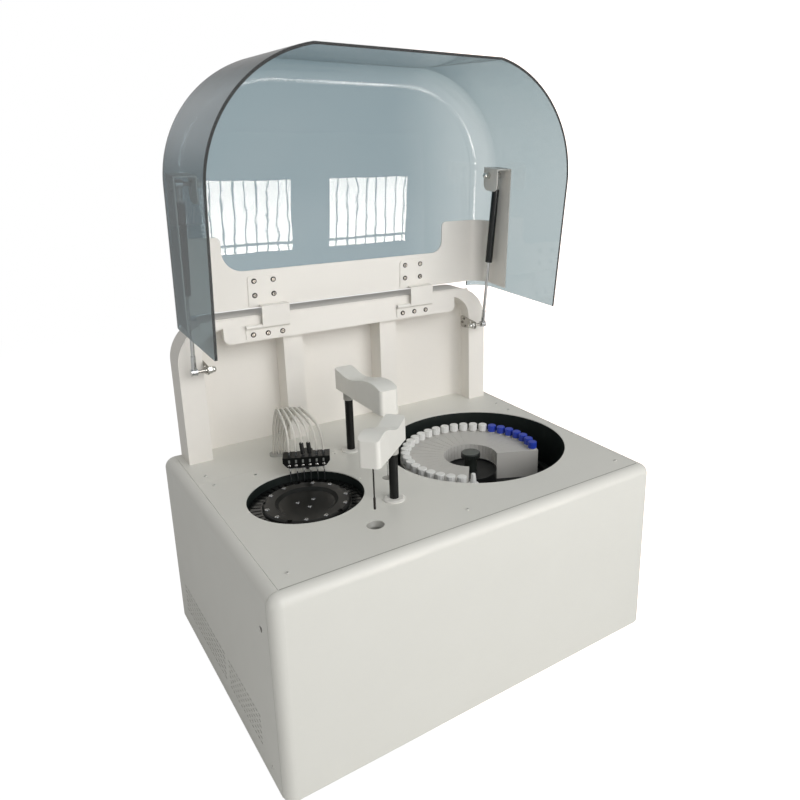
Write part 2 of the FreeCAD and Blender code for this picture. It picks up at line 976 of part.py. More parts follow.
def acorn_nut(seat, direction):
    """A hexagon nut with a domed cap, seated at a point."""
    up = direction
    side = Vector(0, 0, 1).cross(up).normalize()
    other = up.cross(side)
    corners = []
    for i in range(6):
        turn = math.radians(i * full_turn / 6)
        corners.append(seat + side * (nut_radius * math.cos(turn)) + other * (nut_radius * math.sin(turn)))
    hexagon = polygon_prism(corners, up * nut_height)
    dome_radius = nut_radius * 0.8
    dome = Part.makeSphere(dome_radius, seat + up * nut_height, up, 0, right_angle)
    return hexagon.fuse(dome)


def make_lower_ball_studs():
    """The struts' lower studs, with their nuts on the inner side."""
    studs = []
    z = bracket_seat_height()
    face = portal_half_width - post_width
    housing = strut_x - fitting_width / 2
    for side in (-1, 1):
        start = Vector(side * (face - bracket_plate - nut_height / 2), lower_ball_y, z)
        end = Vector(side * (housing - soft_clearance), lower_ball_y, z)
        collar_start = Vector(side * face, lower_ball_y, z)
        collar_end = Vector(side * (face + stud_radius), lower_ball_y, z)
        nut = acorn_nut(Vector(side * (face - bracket_plate), lower_ball_y, z), Vector(-side, 0, 0))
        studs.append(fuse([bar(stud_radius, start, end), bar(nut_radius * 0.9, collar_start, collar_end),
                           nut]))
    return studs


def make_well(radius, depth, x, y, shaft_x, shaft_y):
    """A black pot that hangs under the deck by its flange, with a hole for its rotor's spindle."""
    wall = radius + well_wall
    bottom = deck_under - depth
    points = [(0, bottom), (wall, bottom), (wall, deck_under - flange_thick),
              (wall + well_flange, deck_under - flange_thick), (wall + well_flange, deck_under),
              (radius, deck_under), (radius, bottom + well_wall), (0, bottom + well_wall)]
    hole = post(spindle_radius + bore_clearance * 5, shaft_x, shaft_y, bottom - overrun, deck_under)
    return turned(points, x, y).cut(hole)


def make_wash_wells():
    """The two small wells in which the needle and the stirrer are rinsed."""
    wells = []
    for x, y, funnel in ((stirring_well_x, stirring_well_y, wash_well_funnel),
                         (sampling_well_x, sampling_well_y, 0)):
        inner = wash_well_radius - wash_well_wall
        outer = wash_well_radius + funnel
        bottom = deck_under - wash_well_depth
        points = [(0, bottom), (wash_well_radius, bottom),
                  (wash_well_radius, deck_under - flange_thick * 2),
                  (outer + well_flange, deck_under - flange_thick), (outer + well_flange, deck_under),
                  (outer, deck_under), (inner, deck_under - flange_thick * 2 - wash_well_wall),
                  (inner, bottom + wash_well_floor), (0, bottom + wash_well_floor)]
        wells.append(turned(points, x, y))
    return wells


def make_rotor_motors():
    """The geared motors that hang under both wells and turn the spindles."""
    motors = []
    for x, y, depth in ((reaction_x, reaction_y, reaction_depth), (carousel_x, carousel_y, reagent_depth)):
        top = deck_under - depth
        bottom = top - motor_flange_thick - motor_height
        bore = spindle_radius + running_clearance
        seat = top - spindle_grip
        points = [(0, bottom), (motor_radius, bottom), (motor_radius, top - motor_flange_thick),
                  (motor_flange_radius, top - motor_flange_thick), (motor_flange_radius, top),
                  (bore, top), (bore, seat), (0, seat)]
        motors.append(turned(points, x, y))
    return motors


def arm_guide(x, y):
    """A column's collar and sleeve, and the rods that its lift runs on."""
    bore = column_radius + running_clearance
    collar = turned([(bore, deck_top), (collar_radius, deck_top),
                     (collar_radius, deck_top + collar_rise / 2),
                     (collar_radius - collar_rise, deck_top + collar_rise), (bore, deck_top + collar_rise)],
                     x, y)
    spigot = turned([(bore, deck_under), (collar_spigot, deck_under), (collar_spigot, deck_top),
                     (bore, deck_top)], x, y)
    sleeve = turned([(bore, deck_under - sleeve_length), (sleeve_radius, deck_under - sleeve_length),
                     (sleeve_radius, deck_under), (bore, deck_under)], x, y)
    half = guide_plate_width / 2
    depth = guide_plate_depth / 2
    top = deck_under
    low = top - lift_drop - carriage_height - lift_travel - guide_plate_thick
    plate = box(x - half, x + half, y - depth, y + depth, top - guide_plate_thick, top)
    plate = plate.cut(post(bore, x, y, low, top + overrun))
    foot = box(x - half, x + half, y - depth, y + depth, low, low + guide_plate_thick)
    foot = foot.cut(post(shoulder_radius, x, y, low - overrun, top))
    rods = [post(guide_rod_radius, x + side * guide_rod_spread, y, low, top) for side in (-1, 1)]
    return fuse([collar, spigot, sleeve, plate, foot] + rods)


def head_post_centre():
    """Radius of the wash head's post from the reaction rotor's centre."""
    return head_inner + head_depth + head_post_offset


def make_arm_guides():
    """The guides of both arm columns, and the bush of the wash head's post."""
    x, y = polar(reaction_x, reaction_y, head_post_centre(), head_heading)
    bore = head_post_radius + running_clearance
    bush = turned([(bore, deck_under - head_bush_length), (head_bush_radius, deck_under - head_bush_length),
                   (head_bush_radius, deck_under), (bore, deck_under)], x, y)
    flange = post(reaction_radius + well_wall + well_flange + bore_clearance, reaction_x, reaction_y,
                  deck_under - head_bush_length - overrun, deck_top)
    return [arm_guide(sampling_x, sampling_y), arm_guide(stirring_x, stirring_y), bush.cut(flange)]


def make_carriage(x, y):
    """A lift's carriage, which slides on two rods and carries the column."""
    top = deck_under - lift_drop
    bottom = top - carriage_height
    half = carriage_width / 2
    depth = carriage_depth / 2
    body = box(x - half, x + half, y - depth, y + depth, bottom, top)
    upright = [e for e in body.Edges if abs(e.tangentAt(e.FirstParameter).z) > 0.5]
    body = body.makeFillet(arm_corner, upright)
    holes = [post(guide_rod_radius + running_clearance, x + side * guide_rod_spread, y, bottom - overrun,
                  top + overrun)
             for side in (-1, 1)]
    holes.append(post(column_radius + running_clearance, x, y, bottom - overrun, top + overrun))
    return cut(body, holes)


def arm_outline(length, inset):
    """An arm cover's plan, drawn in by an inset, from tail to nose."""
    half = arm_width / 2 - inset
    corners = [Vector(inset, -half, 0), Vector(length - inset, -half, 0),
               Vector(length - inset, half, 0), Vector(inset, half, 0)]
    return rounded_face(corners, [arm_corner - inset] * 4)


def arm_form(length, inset):
    """An arm cover's form: its plan cut by its wavy top, open below."""
    plan = arm_outline(length, inset).extrude(Vector(0, 0, arm_height * 2))
    points = [Vector(share * length, -arm_width, height * arm_height - inset) for share,
              height in arm_top_shares]
    top = Part.BSplineCurve()
    top.interpolate(points)
    low = -overrun if inset > 0 else 0
    edges = [top.toShape(),
             Part.LineSegment(points[-1], Vector(length, -arm_width, low)).toShape(),
             Part.LineSegment(Vector(length, -arm_width, low), Vector(0, -arm_width, low)).toShape(),
             Part.LineSegment(Vector(0, -arm_width, low), points[0]).toShape()]
    side = Part.Face(Part.Wire(edges)).extrude(Vector(0, arm_width * 2, 0))
    if inset > 0:
        plan.translate(Vector(0, 0, low))
    return plan.common(side)


def place_arm(shape, x, y, rise, heading):
    """Move an arm piece, built along +X from its tail, onto its column."""
    shape.translate(Vector(-arm_tail, 0, 0))
    shape.rotate(Vector(0, 0, 0), Vector(0, 0, 1), heading)
    shape.translate(Vector(x, y, deck_top + rise))
    return shape


def make_arm_cover(x, y, rise, reach, heading):
    """An arm's moulded cover, a thin shell that is open below."""
    length = arm_tail + reach + arm_nose
    shell = arm_form(length, 0).cut(arm_form(length, arm_wall))
    return place_arm(shell, x, y, rise, heading)


def make_arm_column(x, y, rise, reach, heading):
    """An arm's column with its neck, its foot and the plate that carries the cover."""
    length = arm_tail + reach + arm_nose
    inset = arm_wall + soft_clearance
    plate = arm_outline(length, inset).extrude(Vector(0, 0, arm_plate))
    hole = needle_radius * 2 + bore_clearance
    plate = plate.cut(post(hole, arm_tail + reach, 0, -overrun, arm_plate + overrun))
    plate = place_arm(plate, x, y, rise, heading)
    neck_top = deck_top + rise
    carriage_top = deck_under - lift_drop
    pieces = [plate,
              post(arm_neck_radius, x, y, neck_top - arm_neck_height, neck_top),
              post(column_radius, x, y, carriage_top - carriage_height, neck_top),
              post(shoulder_radius, x, y, carriage_top, carriage_top + shoulder_height)]
    return fuse(pieces)


def make_sampling_needle():
    """The sampling needle, hung from its arm's plate."""
    x, y = polar(sampling_x, sampling_y, sampling_reach, sampling_heading)
    seat = deck_top + sampling_rise + arm_plate
    tip = deck_top + sampling_tip_rise
    points = [(0, tip), (needle_radius / 2, tip), (needle_radius, tip + needle_radius * 4),
              (needle_radius, seat),
              (needle_head_radius, seat), (needle_head_radius, seat + needle_head_height),
              (0, seat + needle_head_height)]
    return turned(points, x, y)


def make_stirrer():
    """The stirring rod with its flat paddle at the end."""
    x, y = polar(stirring_x, stirring_y, stirring_reach, stirring_heading)
    seat = deck_top + stirring_rise + arm_plate
    tip = deck_top + stirring_tip_rise
    points = [(0, tip), (paddle_radius, tip), (paddle_radius, tip + paddle_length),
              (stirrer_radius, tip + paddle_length + paddle_radius), (stirrer_radius, seat),
              (needle_head_radius, seat), (needle_head_radius, seat + needle_head_height),
              (0, seat + needle_head_height)]
    return turned(points, x, y)


def place_head(shape):
    """Move a wash head piece, built along +X, onto the cuvette ring."""
    shape.rotate(Vector(0, 0, 0), Vector(0, 0, 1), head_heading)
    shape.translate(Vector(reaction_x, reaction_y, deck_top))
    return shape


def head_station_places():
    """Radius and sideways place of each wash needle."""
    middle = head_inner + head_depth / 2
    places = []
    for row in (-1, 1):
        for i in range(head_stations):
            side = (i - (head_stations - 1) / 2) * head_pitch
            places.append((middle + row * head_row_spread / 2, side))
    return places


def make_wash_head_block():
    """The black block of the wash head, chamfered at its lower ends."""
    low = head_rise
    high = head_rise + head_height
    half = head_half_length
    r0 = head_inner
    corners = [Vector(r0, -half + head_chamfer_x, low), Vector(r0, half - head_chamfer_x, low),
               Vector(r0, half, low + head_chamfer_z), Vector(r0, half, high),
               Vector(r0, -half, high), Vector(r0, -half, low + head_chamfer_z)]
    block = polygon_prism(corners, Vector(head_depth, 0, 0))
    bores = [post(barb_radius / 2 + bore_clearance * 2, r, side, low - overrun, high + overrun)
             for r, side in head_station_places()]
    return place_head(cut(block, bores))


def make_wash_needles():
    """The wash needles through the block, held in a plate below it."""
    middle = head_inner + head_depth / 2
    half = head_plate_length / 2
    depth = head_plate_depth / 2
    low = head_rise - head_plate_thick
    top = head_rise + head_height
    plate = box(middle - depth, middle + depth, -half, half, low, head_rise)
    pieces = [plate]
    for r, side in head_station_places():
        stem = barb_radius / 2
        points = [(0, -head_needle_drop), (head_needle_radius, -head_needle_drop),
                  (head_needle_radius, low),
                  (stem, low), (stem, top), (barb_radius, top), (barb_radius, top + barb_height / 2),
                  (tube_radius, top + barb_height / 2 + barb_bead), (tube_radius, top + barb_height),
                  (0, top + barb_height)]
        pieces.append(turned(points, r, side))
    return place_head(fuse(pieces))


def make_wash_head_post():
    """The post that lifts the wash head, with its short bracket."""
    r = head_post_centre()
    back = head_inner + head_depth
    high = head_rise + head_height - head_chamfer_x / 2
    bracket = box(back, r, -head_arm_width / 2, head_arm_width / 2, high - head_arm_height, high)
    nose = post(head_arm_width / 2, r, 0, high - head_arm_height, high)
    stem = post(head_post_radius, r, 0, -head_post_drop, high)
    trim = box(head_inner, back, -head_arm_width, head_arm_width, head_rise, high)
    return place_head(fuse([bracket, nose.cut(trim), stem]))


def grommet_form(margin, z0, z1):
    """The grommet's oblong outline between two levels."""
    x = grommet_half_length + margin
    y = grommet_half_depth + margin
    corners = [Vector(-x, -y, z0), Vector(x, -y, z0), Vector(x, y, z0), Vector(-x, y, z0)]
    form = rounded_face(corners, [y * 0.98] * 4).extrude(Vector(0, 0, z1 - z0))
    form.rotate(Vector(0, 0, 0), Vector(0, 0, 1), head_heading - right_angle)
    form.translate(Vector(grommet_x, grommet_y, 0))
    return form


def grommet_places():
    """Where each wash tube passes the grommet, in the order of the needles."""
    places = []
    turn = math.radians(head_heading)
    out = Vector(math.cos(turn), math.sin(turn), 0)
    along = Vector(-math.sin(turn), math.cos(turn), 0)
    centre = Vector(grommet_x, grommet_y, 0)
    for row in (1, -1):
        for i in range(head_stations):
            side = (i - (head_stations - 1) / 2) * grommet_pitch
            places.append(centre + along * side + out * (row * grommet_row_spread / 2))
    return places


def make_tube_grommet():
    """The rubber grommet that the wash tubes pass, clipped into the deck."""
    lip = grommet_form(grommet_lip, deck_top, deck_top + grommet_rise)
    plug = grommet_form(-bore_clearance, deck_under - grommet_lip, deck_top)
    holes = [post(tube_radius + bore_clearance, p.x, p.y, deck_under - overrun * 2,
                  deck_top + grommet_rise + overrun)
             for p in grommet_places()]
    return cut(fuse([lip, plug]), holes)


def tube_route(start, end, step):
    """The points of one wash tube, from its barb over to the grommet."""
    lift = Vector(0, 0, 1)
    top = start + lift * (tube_rise + step)
    foot = Vector(end.x, end.y, deck_top + grommet_rise + tube_fall + step)
    crest_z = deck_top + tube_crest + step
    across = foot - top
    first = top + across * (1 - tube_crest_share)
    first = Vector(first.x, first.y, crest_z)
    second = top + across * tube_crest_share
    second = Vector(second.x, second.y, crest_z + tube_radius * 2)
    down = Vector(end.x, end.y, deck_top - tube_inside)
    return [start, top, first, second, foot, down]


def swept_tube(route, radius):
    """A round tube along straight runs joined by tangent arcs."""
    edges = []
    here = route[0]
    length = 0
    for i in range(1, len(route) - 1):
        corner = route[i]
        back = route[i - 1] - corner
        ahead = route[i + 1] - corner
        half_turn = (math.pi - back.getAngle(ahead)) / 2
        shorter = min(back.Length, ahead.Length)
        reach = 0.45 * shorter
        bend = reach / math.tan(half_turn)
        before = Vector(back).normalize()
        after = Vector(ahead).normalize()
        entry = corner + before * reach
        leave = corner + after * reach
        inward = (before + after).normalize()
        middle = corner + inward * (bend / math.cos(half_turn) - bend)
        edges.append(Part.LineSegment(here, entry).toShape())
        edges.append(Part.Arc(entry, middle, leave).toShape())
        length += (entry - here).Length + 2 * half_turn * bend
        here = leave
        bends.append(bend)
    edges.append(Part.LineSegment(here, route[-1]).toShape())
    length += (route[-1] - here).Length
    spine = Part.Wire(edges)
    ring = Part.Wire([Part.makeCircle(radius, route[0], route[1] - route[0])])
    tube = spine.makePipeShell([ring], True, False)
    volumes.append(tube.Volume / (math.pi * radius * radius * length))
    return tube


def make_wash_tubes():
    """The soft clear tubes from the barbs to the grommet."""
    ends = grommet_places()
    turn = math.radians(head_heading)
    tubes = []
    high = deck_top + head_rise + head_height + barb_height
    for i, (place, end) in enumerate(zip(head_station_places(), ends)):
        r, side = place
        x = reaction_x + r * math.cos(turn) - side * math.sin(turn)
        y = reaction_y + r * math.sin(turn) + side * math.cos(turn)
        step = tube_row_step if i < head_stations else 0
        tubes.append(swept_tube(tube_route(Vector(x, y, high), end, step), tube_radius))
    return tubes


def make_reaction_disc():
    """The black disc that carries the cuvettes, turned in one piece."""
    z = deck_top
    hub = disc_hub_radius
    wall = disc_rim_radius - disc_wall
    low = z - disc_flange_drop
    points = [(0, z - disc_dish_drop), (disc_dish_radius, z - disc_dish_drop),
              (disc_dish_radius + disc_slope, z - disc_ring_drop), (disc_ring_outer, z - disc_ring_drop),
              (disc_rim_radius, z - disc_rim_drop), (disc_rim_radius, low), (cuvette_outer, low),
              (cuvette_outer, low - disc_flange_thick), (wall, low - disc_flange_thick),
              (wall, z - disc_dish_drop - disc_thick), (hub, z - disc_dish_drop - disc_thick),
              (hub, z - disc_hub_drop), (spindle_radius, z - disc_hub_drop),
              (spindle_radius, deck_under - reaction_depth - spindle_grip),
              (0, deck_under - reaction_depth - spindle_grip)]
    disc = turned(points, reaction_x, reaction_y)
    tools = [screw_hole(seat, Vector(0, 0, 1)) for seat in disc_screw_seats()]
    notch = box(reaction_x + disc_rim_radius - disc_notch_depth, reaction_x + disc_rim_radius + overrun,
                reaction_y - disc_notch_width / 2, reaction_y + disc_notch_width / 2,
                z - disc_dish_drop, z + overrun)
    for i in range(cuvette_segments):
        angle = disc_notch_start + i * full_turn / cuvette_segments
        tools.append(turned_copy(notch, reaction_x, reaction_y, angle))
    return cut(disc, tools)


def disc_screw_seats():
    """Seats of the reaction disc's screws, in pairs on the ring and three at the hub."""
    seats = []
    for i in range(cuvette_segments):
        middle = disc_pair_start + i * full_turn / cuvette_segments
        for side in (-1, 1):
            x, y = polar(reaction_x, reaction_y, disc_screw_radius, middle + side * disc_pair_half_angle)
            seats.append(Vector(x, y, deck_top - disc_ring_drop))
    for i in range(3):
        x, y = polar(reaction_x, reaction_y, hub_screw_radius, hub_screw_start + i * full_turn / 3)
        seats.append(Vector(x, y, deck_top - disc_dish_drop))
    return seats


def make_reaction_screws():
    """The bright screws of the reaction disc."""
    return [screw(seat, Vector(0, 0, 1)) for seat in disc_screw_seats()]


def make_cuvette_ring():
    """Five curved blocks of cuvettes, open at the top."""
    span = full_turn / cuvette_segments
    pitch = span / cuvettes_per_segment
    top = deck_top - cuvette_drop
    bottom = deck_top - disc_flange_drop
    inner = disc_rim_radius + soft_clearance
    gap = math.degrees(segment_gap / cuvette_outer)
    segments = []
    for i in range(cuvette_segments):
        start = disc_notch_start + i * span
        face = Part.Face(Part.makePolygon([Vector(inner, 0, bottom), Vector(cuvette_outer, 0, bottom),
                                           Vector(cuvette_outer, 0, top), Vector(inner, 0, top),
                                           Vector(inner, 0, bottom)]))
        body = face.revolve(Vector(0, 0, 0), Vector(0, 0, 1), span - gap)
        body.rotate(Vector(0, 0, 0), Vector(0, 0, 1), start + gap / 2)
        slot = box(inner + cuvette_wall, cuvette_outer - cuvette_wall, -cuvette_slot / 2, cuvette_slot / 2,
                   bottom + cuvette_floor, top + overrun)
        slots = [turned_copy(slot, 0, 0, start + (k + 0.5) * pitch) for k in range(cuvettes_per_segment)]
        body = cut(body, slots)
        body.translate(Vector(reaction_x, reaction_y, 0))
        segments.append(body)
    return segments


def make_reagent_tray():
    """The carousel tray: a floor with a low rim, a hub sleeve with its lid, and its spindle."""
    floor = deck_top - tray_floor_drop
    low = floor - tray_thick
    rim = tray_rim_radius
    hub_top = deck_top - tray_hub_drop
    hub_in = tray_hub_radius - tray_hub_wall
    foot = deck_under - reagent_depth - spindle_grip
    points = [(0, hub_top - tray_hub_wall), (0, foot), (spindle_radius, foot), (spindle_radius, low),
              (rim, low),
              (rim, deck_top - tray_rim_drop), (rim - tray_rim_wall, deck_top - tray_rim_drop),
              (rim - tray_rim_wall, floor), (tray_hub_radius, floor), (tray_hub_radius, hub_top),
              (hub_in, hub_top), (hub_in, hub_top - tray_hub_wall)]
    return turned(points, carousel_x, carousel_y)


def bottle_angles():
    """Headings of the filled positions, blue caps first."""
    pitch = full_turn / reagent_positions
    return [reagent_first + k * pitch for k in range(blue_count + white_count + 1)]


def make_reagent_bottles():
    """The wedge-shaped bottles, packed side by side, each with its neck."""
    bottom = deck_top - tray_floor_drop
    top = deck_top - bottle_top_drop
    half = math.radians(full_turn / reagent_positions / 2)
    inner_half = bottle_inner * math.tan(half) - bottle_seam / 2
    outer_half = bottle_outer * math.tan(half) - bottle_seam / 2
    corners = [Vector(bottle_inner, -inner_half, bottom), Vector(bottle_outer, -outer_half, bottom),
               Vector(bottle_outer, outer_half, bottom), Vector(bottle_inner, inner_half, bottom)]
    body = rounded_face(corners, [bottle_corner] * 4).extrude(Vector(0, 0, top - bottom))
    neck = post(neck_radius, bottle_pitch_radius, 0, top, top + neck_height)
    bottle = fuse([body, neck])
    bottle.translate(Vector(carousel_x, carousel_y, 0))
    return [turned_copy(bottle, carousel_x, carousel_y, angle) for angle in bottle_angles()[:-1]]


def cap_at(angle):
    """A ribbed screw cap, seated on its bottle's neck."""
    base = deck_top - bottle_top_drop + neck_height
    high = base + cap_height
    corners = []
    for i in range(cap_ribs * 2):
        turn = math.radians(i * full_turn / (cap_ribs * 2))
        radius = cap_radius if i % 2 == 0 else cap_radius - cap_rib
        corners.append(Vector(bottle_pitch_radius + radius * math.cos(turn), radius * math.sin(turn), base))
    body = polygon_prism(corners, Vector(0, 0, high - base - cap_chamfer))
    crown = Part.makeCone(cap_radius - cap_rib, cap_radius - cap_rib - cap_chamfer, cap_chamfer,
                          Vector(bottle_pitch_radius, 0, high - cap_chamfer))
    cap = body.fuse(crown)
    cap.translate(Vector(carousel_x, carousel_y, 0))
    return turned_copy(cap, carousel_x, carousel_y, angle)


def make_blue_caps():
    """The blue caps of the first bottles."""
    return [cap_at(angle) for angle in bottle_angles()[:blue_count]]


def make_white_caps():
    """The white caps, and the dropper bottle that ends their row."""
    angles = bottle_angles()
    caps = [cap_at(angle) for angle in angles[blue_count:-1]]
    x, y = polar(carousel_x, carousel_y, bottle_pitch_radius, angles[-1])
    bottom = deck_top - tray_floor_drop
    shoulder = deck_top - dropper_shoulder_drop
    tip = shoulder + dropper_cone_height
    points = [(0, bottom), (dropper_radius, bottom), (dropper_radius, shoulder - neck_height),
              (dropper_cone_radius, shoulder), (dropper_tip_radius, tip - cap_chamfer),
              (dropper_tip_radius - cap_chamfer, tip), (0, tip)]
    caps.append(turned(points, x, y))
    return caps


def make_reagent_knob():
    """The fluted black knob that locks the tray to its spindle."""
    top = deck_top - knob_drop
    low = top - knob_height
    floor = deck_top - tray_hub_drop - tray_hub_wall
    stem = post(knob_stem_radius, carousel_x, carousel_y, floor, low)
    disc = post(knob_radius, carousel_x, carousel_y, low, top)
    edge = [e for e in disc.Edges if len(e.Vertexes) == 1 and abs(e.CenterOfMass.z - top) < bore_clearance]
    disc = disc.makeFillet(knob_height / 4, edge)
    bites = []
    for i in range(knob_flutes):
        x, y = polar(carousel_x, carousel_y, knob_radius + knob_flute_radius / 2,
                     i * full_turn / knob_flutes)
        bites.append(post(knob_flute_radius, x, y, low - overrun, top - knob_height / 3))
    return fuse([cut(disc, bites), stem])


def open_lid(shape):
    """Swing a lid piece from its closed place to its rest place."""
    shape.rotate(Vector(0, hinge_y, hinge_z), Vector(1, 0, 0), -lid_open_angle)
    return shape


def lid_point(x, v, w):
    """A point of the closed lid, v forward of the hinge axis and w below it."""
    return Vector(x, hinge_y - v, hinge_z - w)


def lid_plan(inset, back_v, w):
    """The closed lid's plan at one level: square at the back, round in front."""
    half = lid_half_width - inset
    front = lid_length - inset
    radius = lid_plan_radius - inset
    corners = [lid_point(-half, back_v, w), lid_point(half, back_v, w),
               lid_point(half, front, w), lid_point(-half, front, w)]
    return rounded_face(corners, [0, 0, radius, radius])


def lid_form(inset, back_v, rim_w):
    """The lid's outer or inner form, its front leaning outward towards the rim."""
    top = lid_panel_w + inset
    lean = lid_front_lean / (lid_rim_w - lid_panel_w)
    form = lid_plan(inset, back_v, top).extrude(Vector(0, lean * (top - rim_w), top - rim_w))
    z = hinge_z - top
    soft = [e for e in form.Edges
            if abs(e.CenterOfMass.z - z) < bore_clearance
            and abs(e.CenterOfMass.y - hinge_y + back_v) > bore_clearance]
    form = form.makeFillet(lid_bend_radius - inset, soft)
    wide = lid_half_width + overrun
    far = lid_length + lid_front_lean + overrun
    front = lid_length + lid_front_lean - inset
    corners = [lid_point(-wide, lid_length - inset, 0), lid_point(-wide, front - lid_front_trim, lid_rim_w),
               lid_point(-wide, front - lid_front_trim, rim_w + overrun),
               lid_point(-wide, far, rim_w + overrun),
               lid_point(-wide, far, 0)]
    return form.cut(polygon_prism(corners, Vector(2 * wide, 0, 0)))


def make_lid_cover():
    """The tinted acrylic lid: one moulded panel with side walls and a front."""
    outer = lid_form(0, 0, lid_rim_w)
    inner = lid_form(lid_wall, -overrun, lid_rim_w + overrun)
    shell = outer.cut(inner)
    wide = lid_half_width + overrun
    corners = [lid_point(-wide, -overrun, lid_panel_w - overrun),
               lid_point(-wide, lid_rear_top, lid_panel_w - overrun),
               lid_point(-wide, lid_rear_top, lid_panel_w), lid_point(-wide, lid_rear_rim, lid_rim_w),
               lid_point(-wide, lid_rear_rim, lid_rim_w + overrun),
               lid_point(-wide, -overrun, lid_rim_w + overrun)]
    wedge = polygon_prism(corners, Vector(2 * wide, 0, 0))
    slope = lid_rim_rise / lid_rim_level
    corners = [lid_point(-wide, lid_rim_level, lid_rim_w),
               lid_point(-wide, -overrun, lid_rim_w - slope * (lid_rim_level + overrun)),
               lid_point(-wide, -overrun, lid_rim_w + overrun),
               lid_point(-wide, lid_rim_level, lid_rim_w + overrun)]
    rise = polygon_prism(corners, Vector(2 * wide, 0, 0))
    middle = lid_half_width - lid_bend_radius
    behind = box(-middle, middle, hinge_y - bracket_bottom + seam_gap, hinge_y + overrun,
                 hinge_z - lid_rim_w, hinge_z - lid_panel_w + overrun)
    return open_lid(cut(shell, [wedge, rise, behind]))


def bracket_section(inset):
    """The lid bracket's section, a tall U that follows the lid's inside."""
    half = lid_half_width - lid_wall - bracket_side_gap - inset
    top = lid_panel_w + lid_wall + inset
    radius = lid_bend_radius - lid_wall - inset
    corners = [lid_point(-half, 0, bracket_flange), lid_point(-half, 0, top),
               lid_point(half, 0, top), lid_point(half, 0, bracket_flange)]
    face = rounded_face(corners, [0, radius, radius, 0])
    return face.extrude(Vector(0, -strip_top, 0))


def bracket_front_tool():
    """What is taken out of the bracket above its middle, seen from the front."""
    w = lid_panel_w
    wide = lid_half_width + overrun
    high = strip_top + overrun
    outline = ((-wide, bracket_side), (bracket_cut_left, bracket_side), (bracket_cut_left, bracket_middle),
               (bracket_cut_right, bracket_middle), (bracket_cut_right, bracket_side), (wide, bracket_side),
               (wide, high), (-wide, high))
    radii = [0, bracket_shoulder_radius, bracket_left_radius, bracket_right_radius, bracket_shoulder_radius,
             0, 0, 0]
    face = rounded_face([lid_point(x, v, w) for x, v in outline], radii)
    return [face.extrude(Vector(0, 0, w - bracket_flange + strip_width))]


def make_lid_bracket():
    """The white sheet inside the lid, which ties it to the hinges and the struts."""
    shell = bracket_section(0).cut(bracket_section(bracket_sheet))
    half = lid_half_width + overrun
    below = box(-half, half, hinge_y - bracket_bottom, hinge_y + overrun,
                hinge_z - bracket_flange - overrun,
                hinge_z - lid_panel_w + overrun)
    shell = cut(shell, [below] + bracket_front_tool())
    pieces = [shell]
    wall = lid_half_width - lid_wall - bracket_side_gap
    strip_low = bracket_flange - strip_width
    for side in (-1, 1):
        web_x = sorted((side * tab_x, side * wall))
        plate_x = sorted((side * tab_x, side * (tab_x + bracket_sheet)))
        pieces.append(box(web_x[0], web_x[1], hinge_y - strip_top, hinge_y - strip_top + bracket_sheet,
                          hinge_z - bracket_flange, hinge_z - strip_low))
        x = plate_x[0]
        corners = [lid_point(x, strip_top - tab_length, strip_low), lid_point(x, strip_top, strip_low),
                   lid_point(x, strip_top, bracket_flange),
                   lid_point(x, strip_top - tab_length, bracket_flange)]
        face = rounded_face(corners, [tab_corner, 0, 0, tab_corner])
        pieces.append(face.extrude(Vector(bracket_sheet, 0, 0)))
    whole = fuse(pieces)
    holes = [stud_hole(side) for side in (-1, 1)]
    holes += [screw_hole(seat, direction) for seat, direction in upper_leaf_seats(0)]
    return open_lid(cut(whole, holes))


def upper_ball():
    """Place of the upper ball on the closed lid, as v and w."""
    rise = deck_top + upper_ball_height - hinge_z
    back = upper_ball_y - hinge_y
    turn = math.radians(lid_open_angle)
    v = rise * math.sin(turn) - back * math.cos(turn)
    w = -back * math.sin(turn) - rise * math.cos(turn)
    return v, w


def stud_hole(side):
    """The hole for a ball stud in the bracket's tab, on the closed lid."""
    v, w = upper_ball()
    return bar(stud_radius + bore_clearance, lid_point(side * (tab_x - overrun), v, w),
               lid_point(side * (tab_x + overrun * 2), v, w))


def make_upper_ball_studs():
    """The struts' upper ball studs, with their nuts on the inner side."""
    v, w = upper_ball()
    studs = []
    for side in (-1, 1):
        outer_face = tab_x + bracket_sheet
        start = lid_point(side * (tab_x - nut_height / 2), v, w)
        end = lid_point(side * strut_x, v, w)
        collar = bar(nut_radius * 0.9, lid_point(side * outer_face, v, w),
                     lid_point(side * (outer_face + stud_radius), v, w))
        nut = acorn_nut(lid_point(side * tab_x, v, w), Vector(-side, 0, 0))
        ball = Part.makeSphere(ball_radius, end)
        studs.append(open_lid(fuse([bar(stud_radius, start, end), collar, nut, ball])))
    return studs


def upper_leaf_seats(lift):
    """Seats of the screws through the upper hinge leaves, on the closed lid."""
    w = lid_panel_w + lid_wall + bracket_sheet + lift
    seats = []
    for x in (hinge_left_x, hinge_right_x):
        for v in (leaf_screw_low, leaf_screw_high):
            for side in (-1, 1):
                seats.append((lid_point(x + side * leaf_screw_half, v, w), Vector(0, 0, -1)))
    return seats


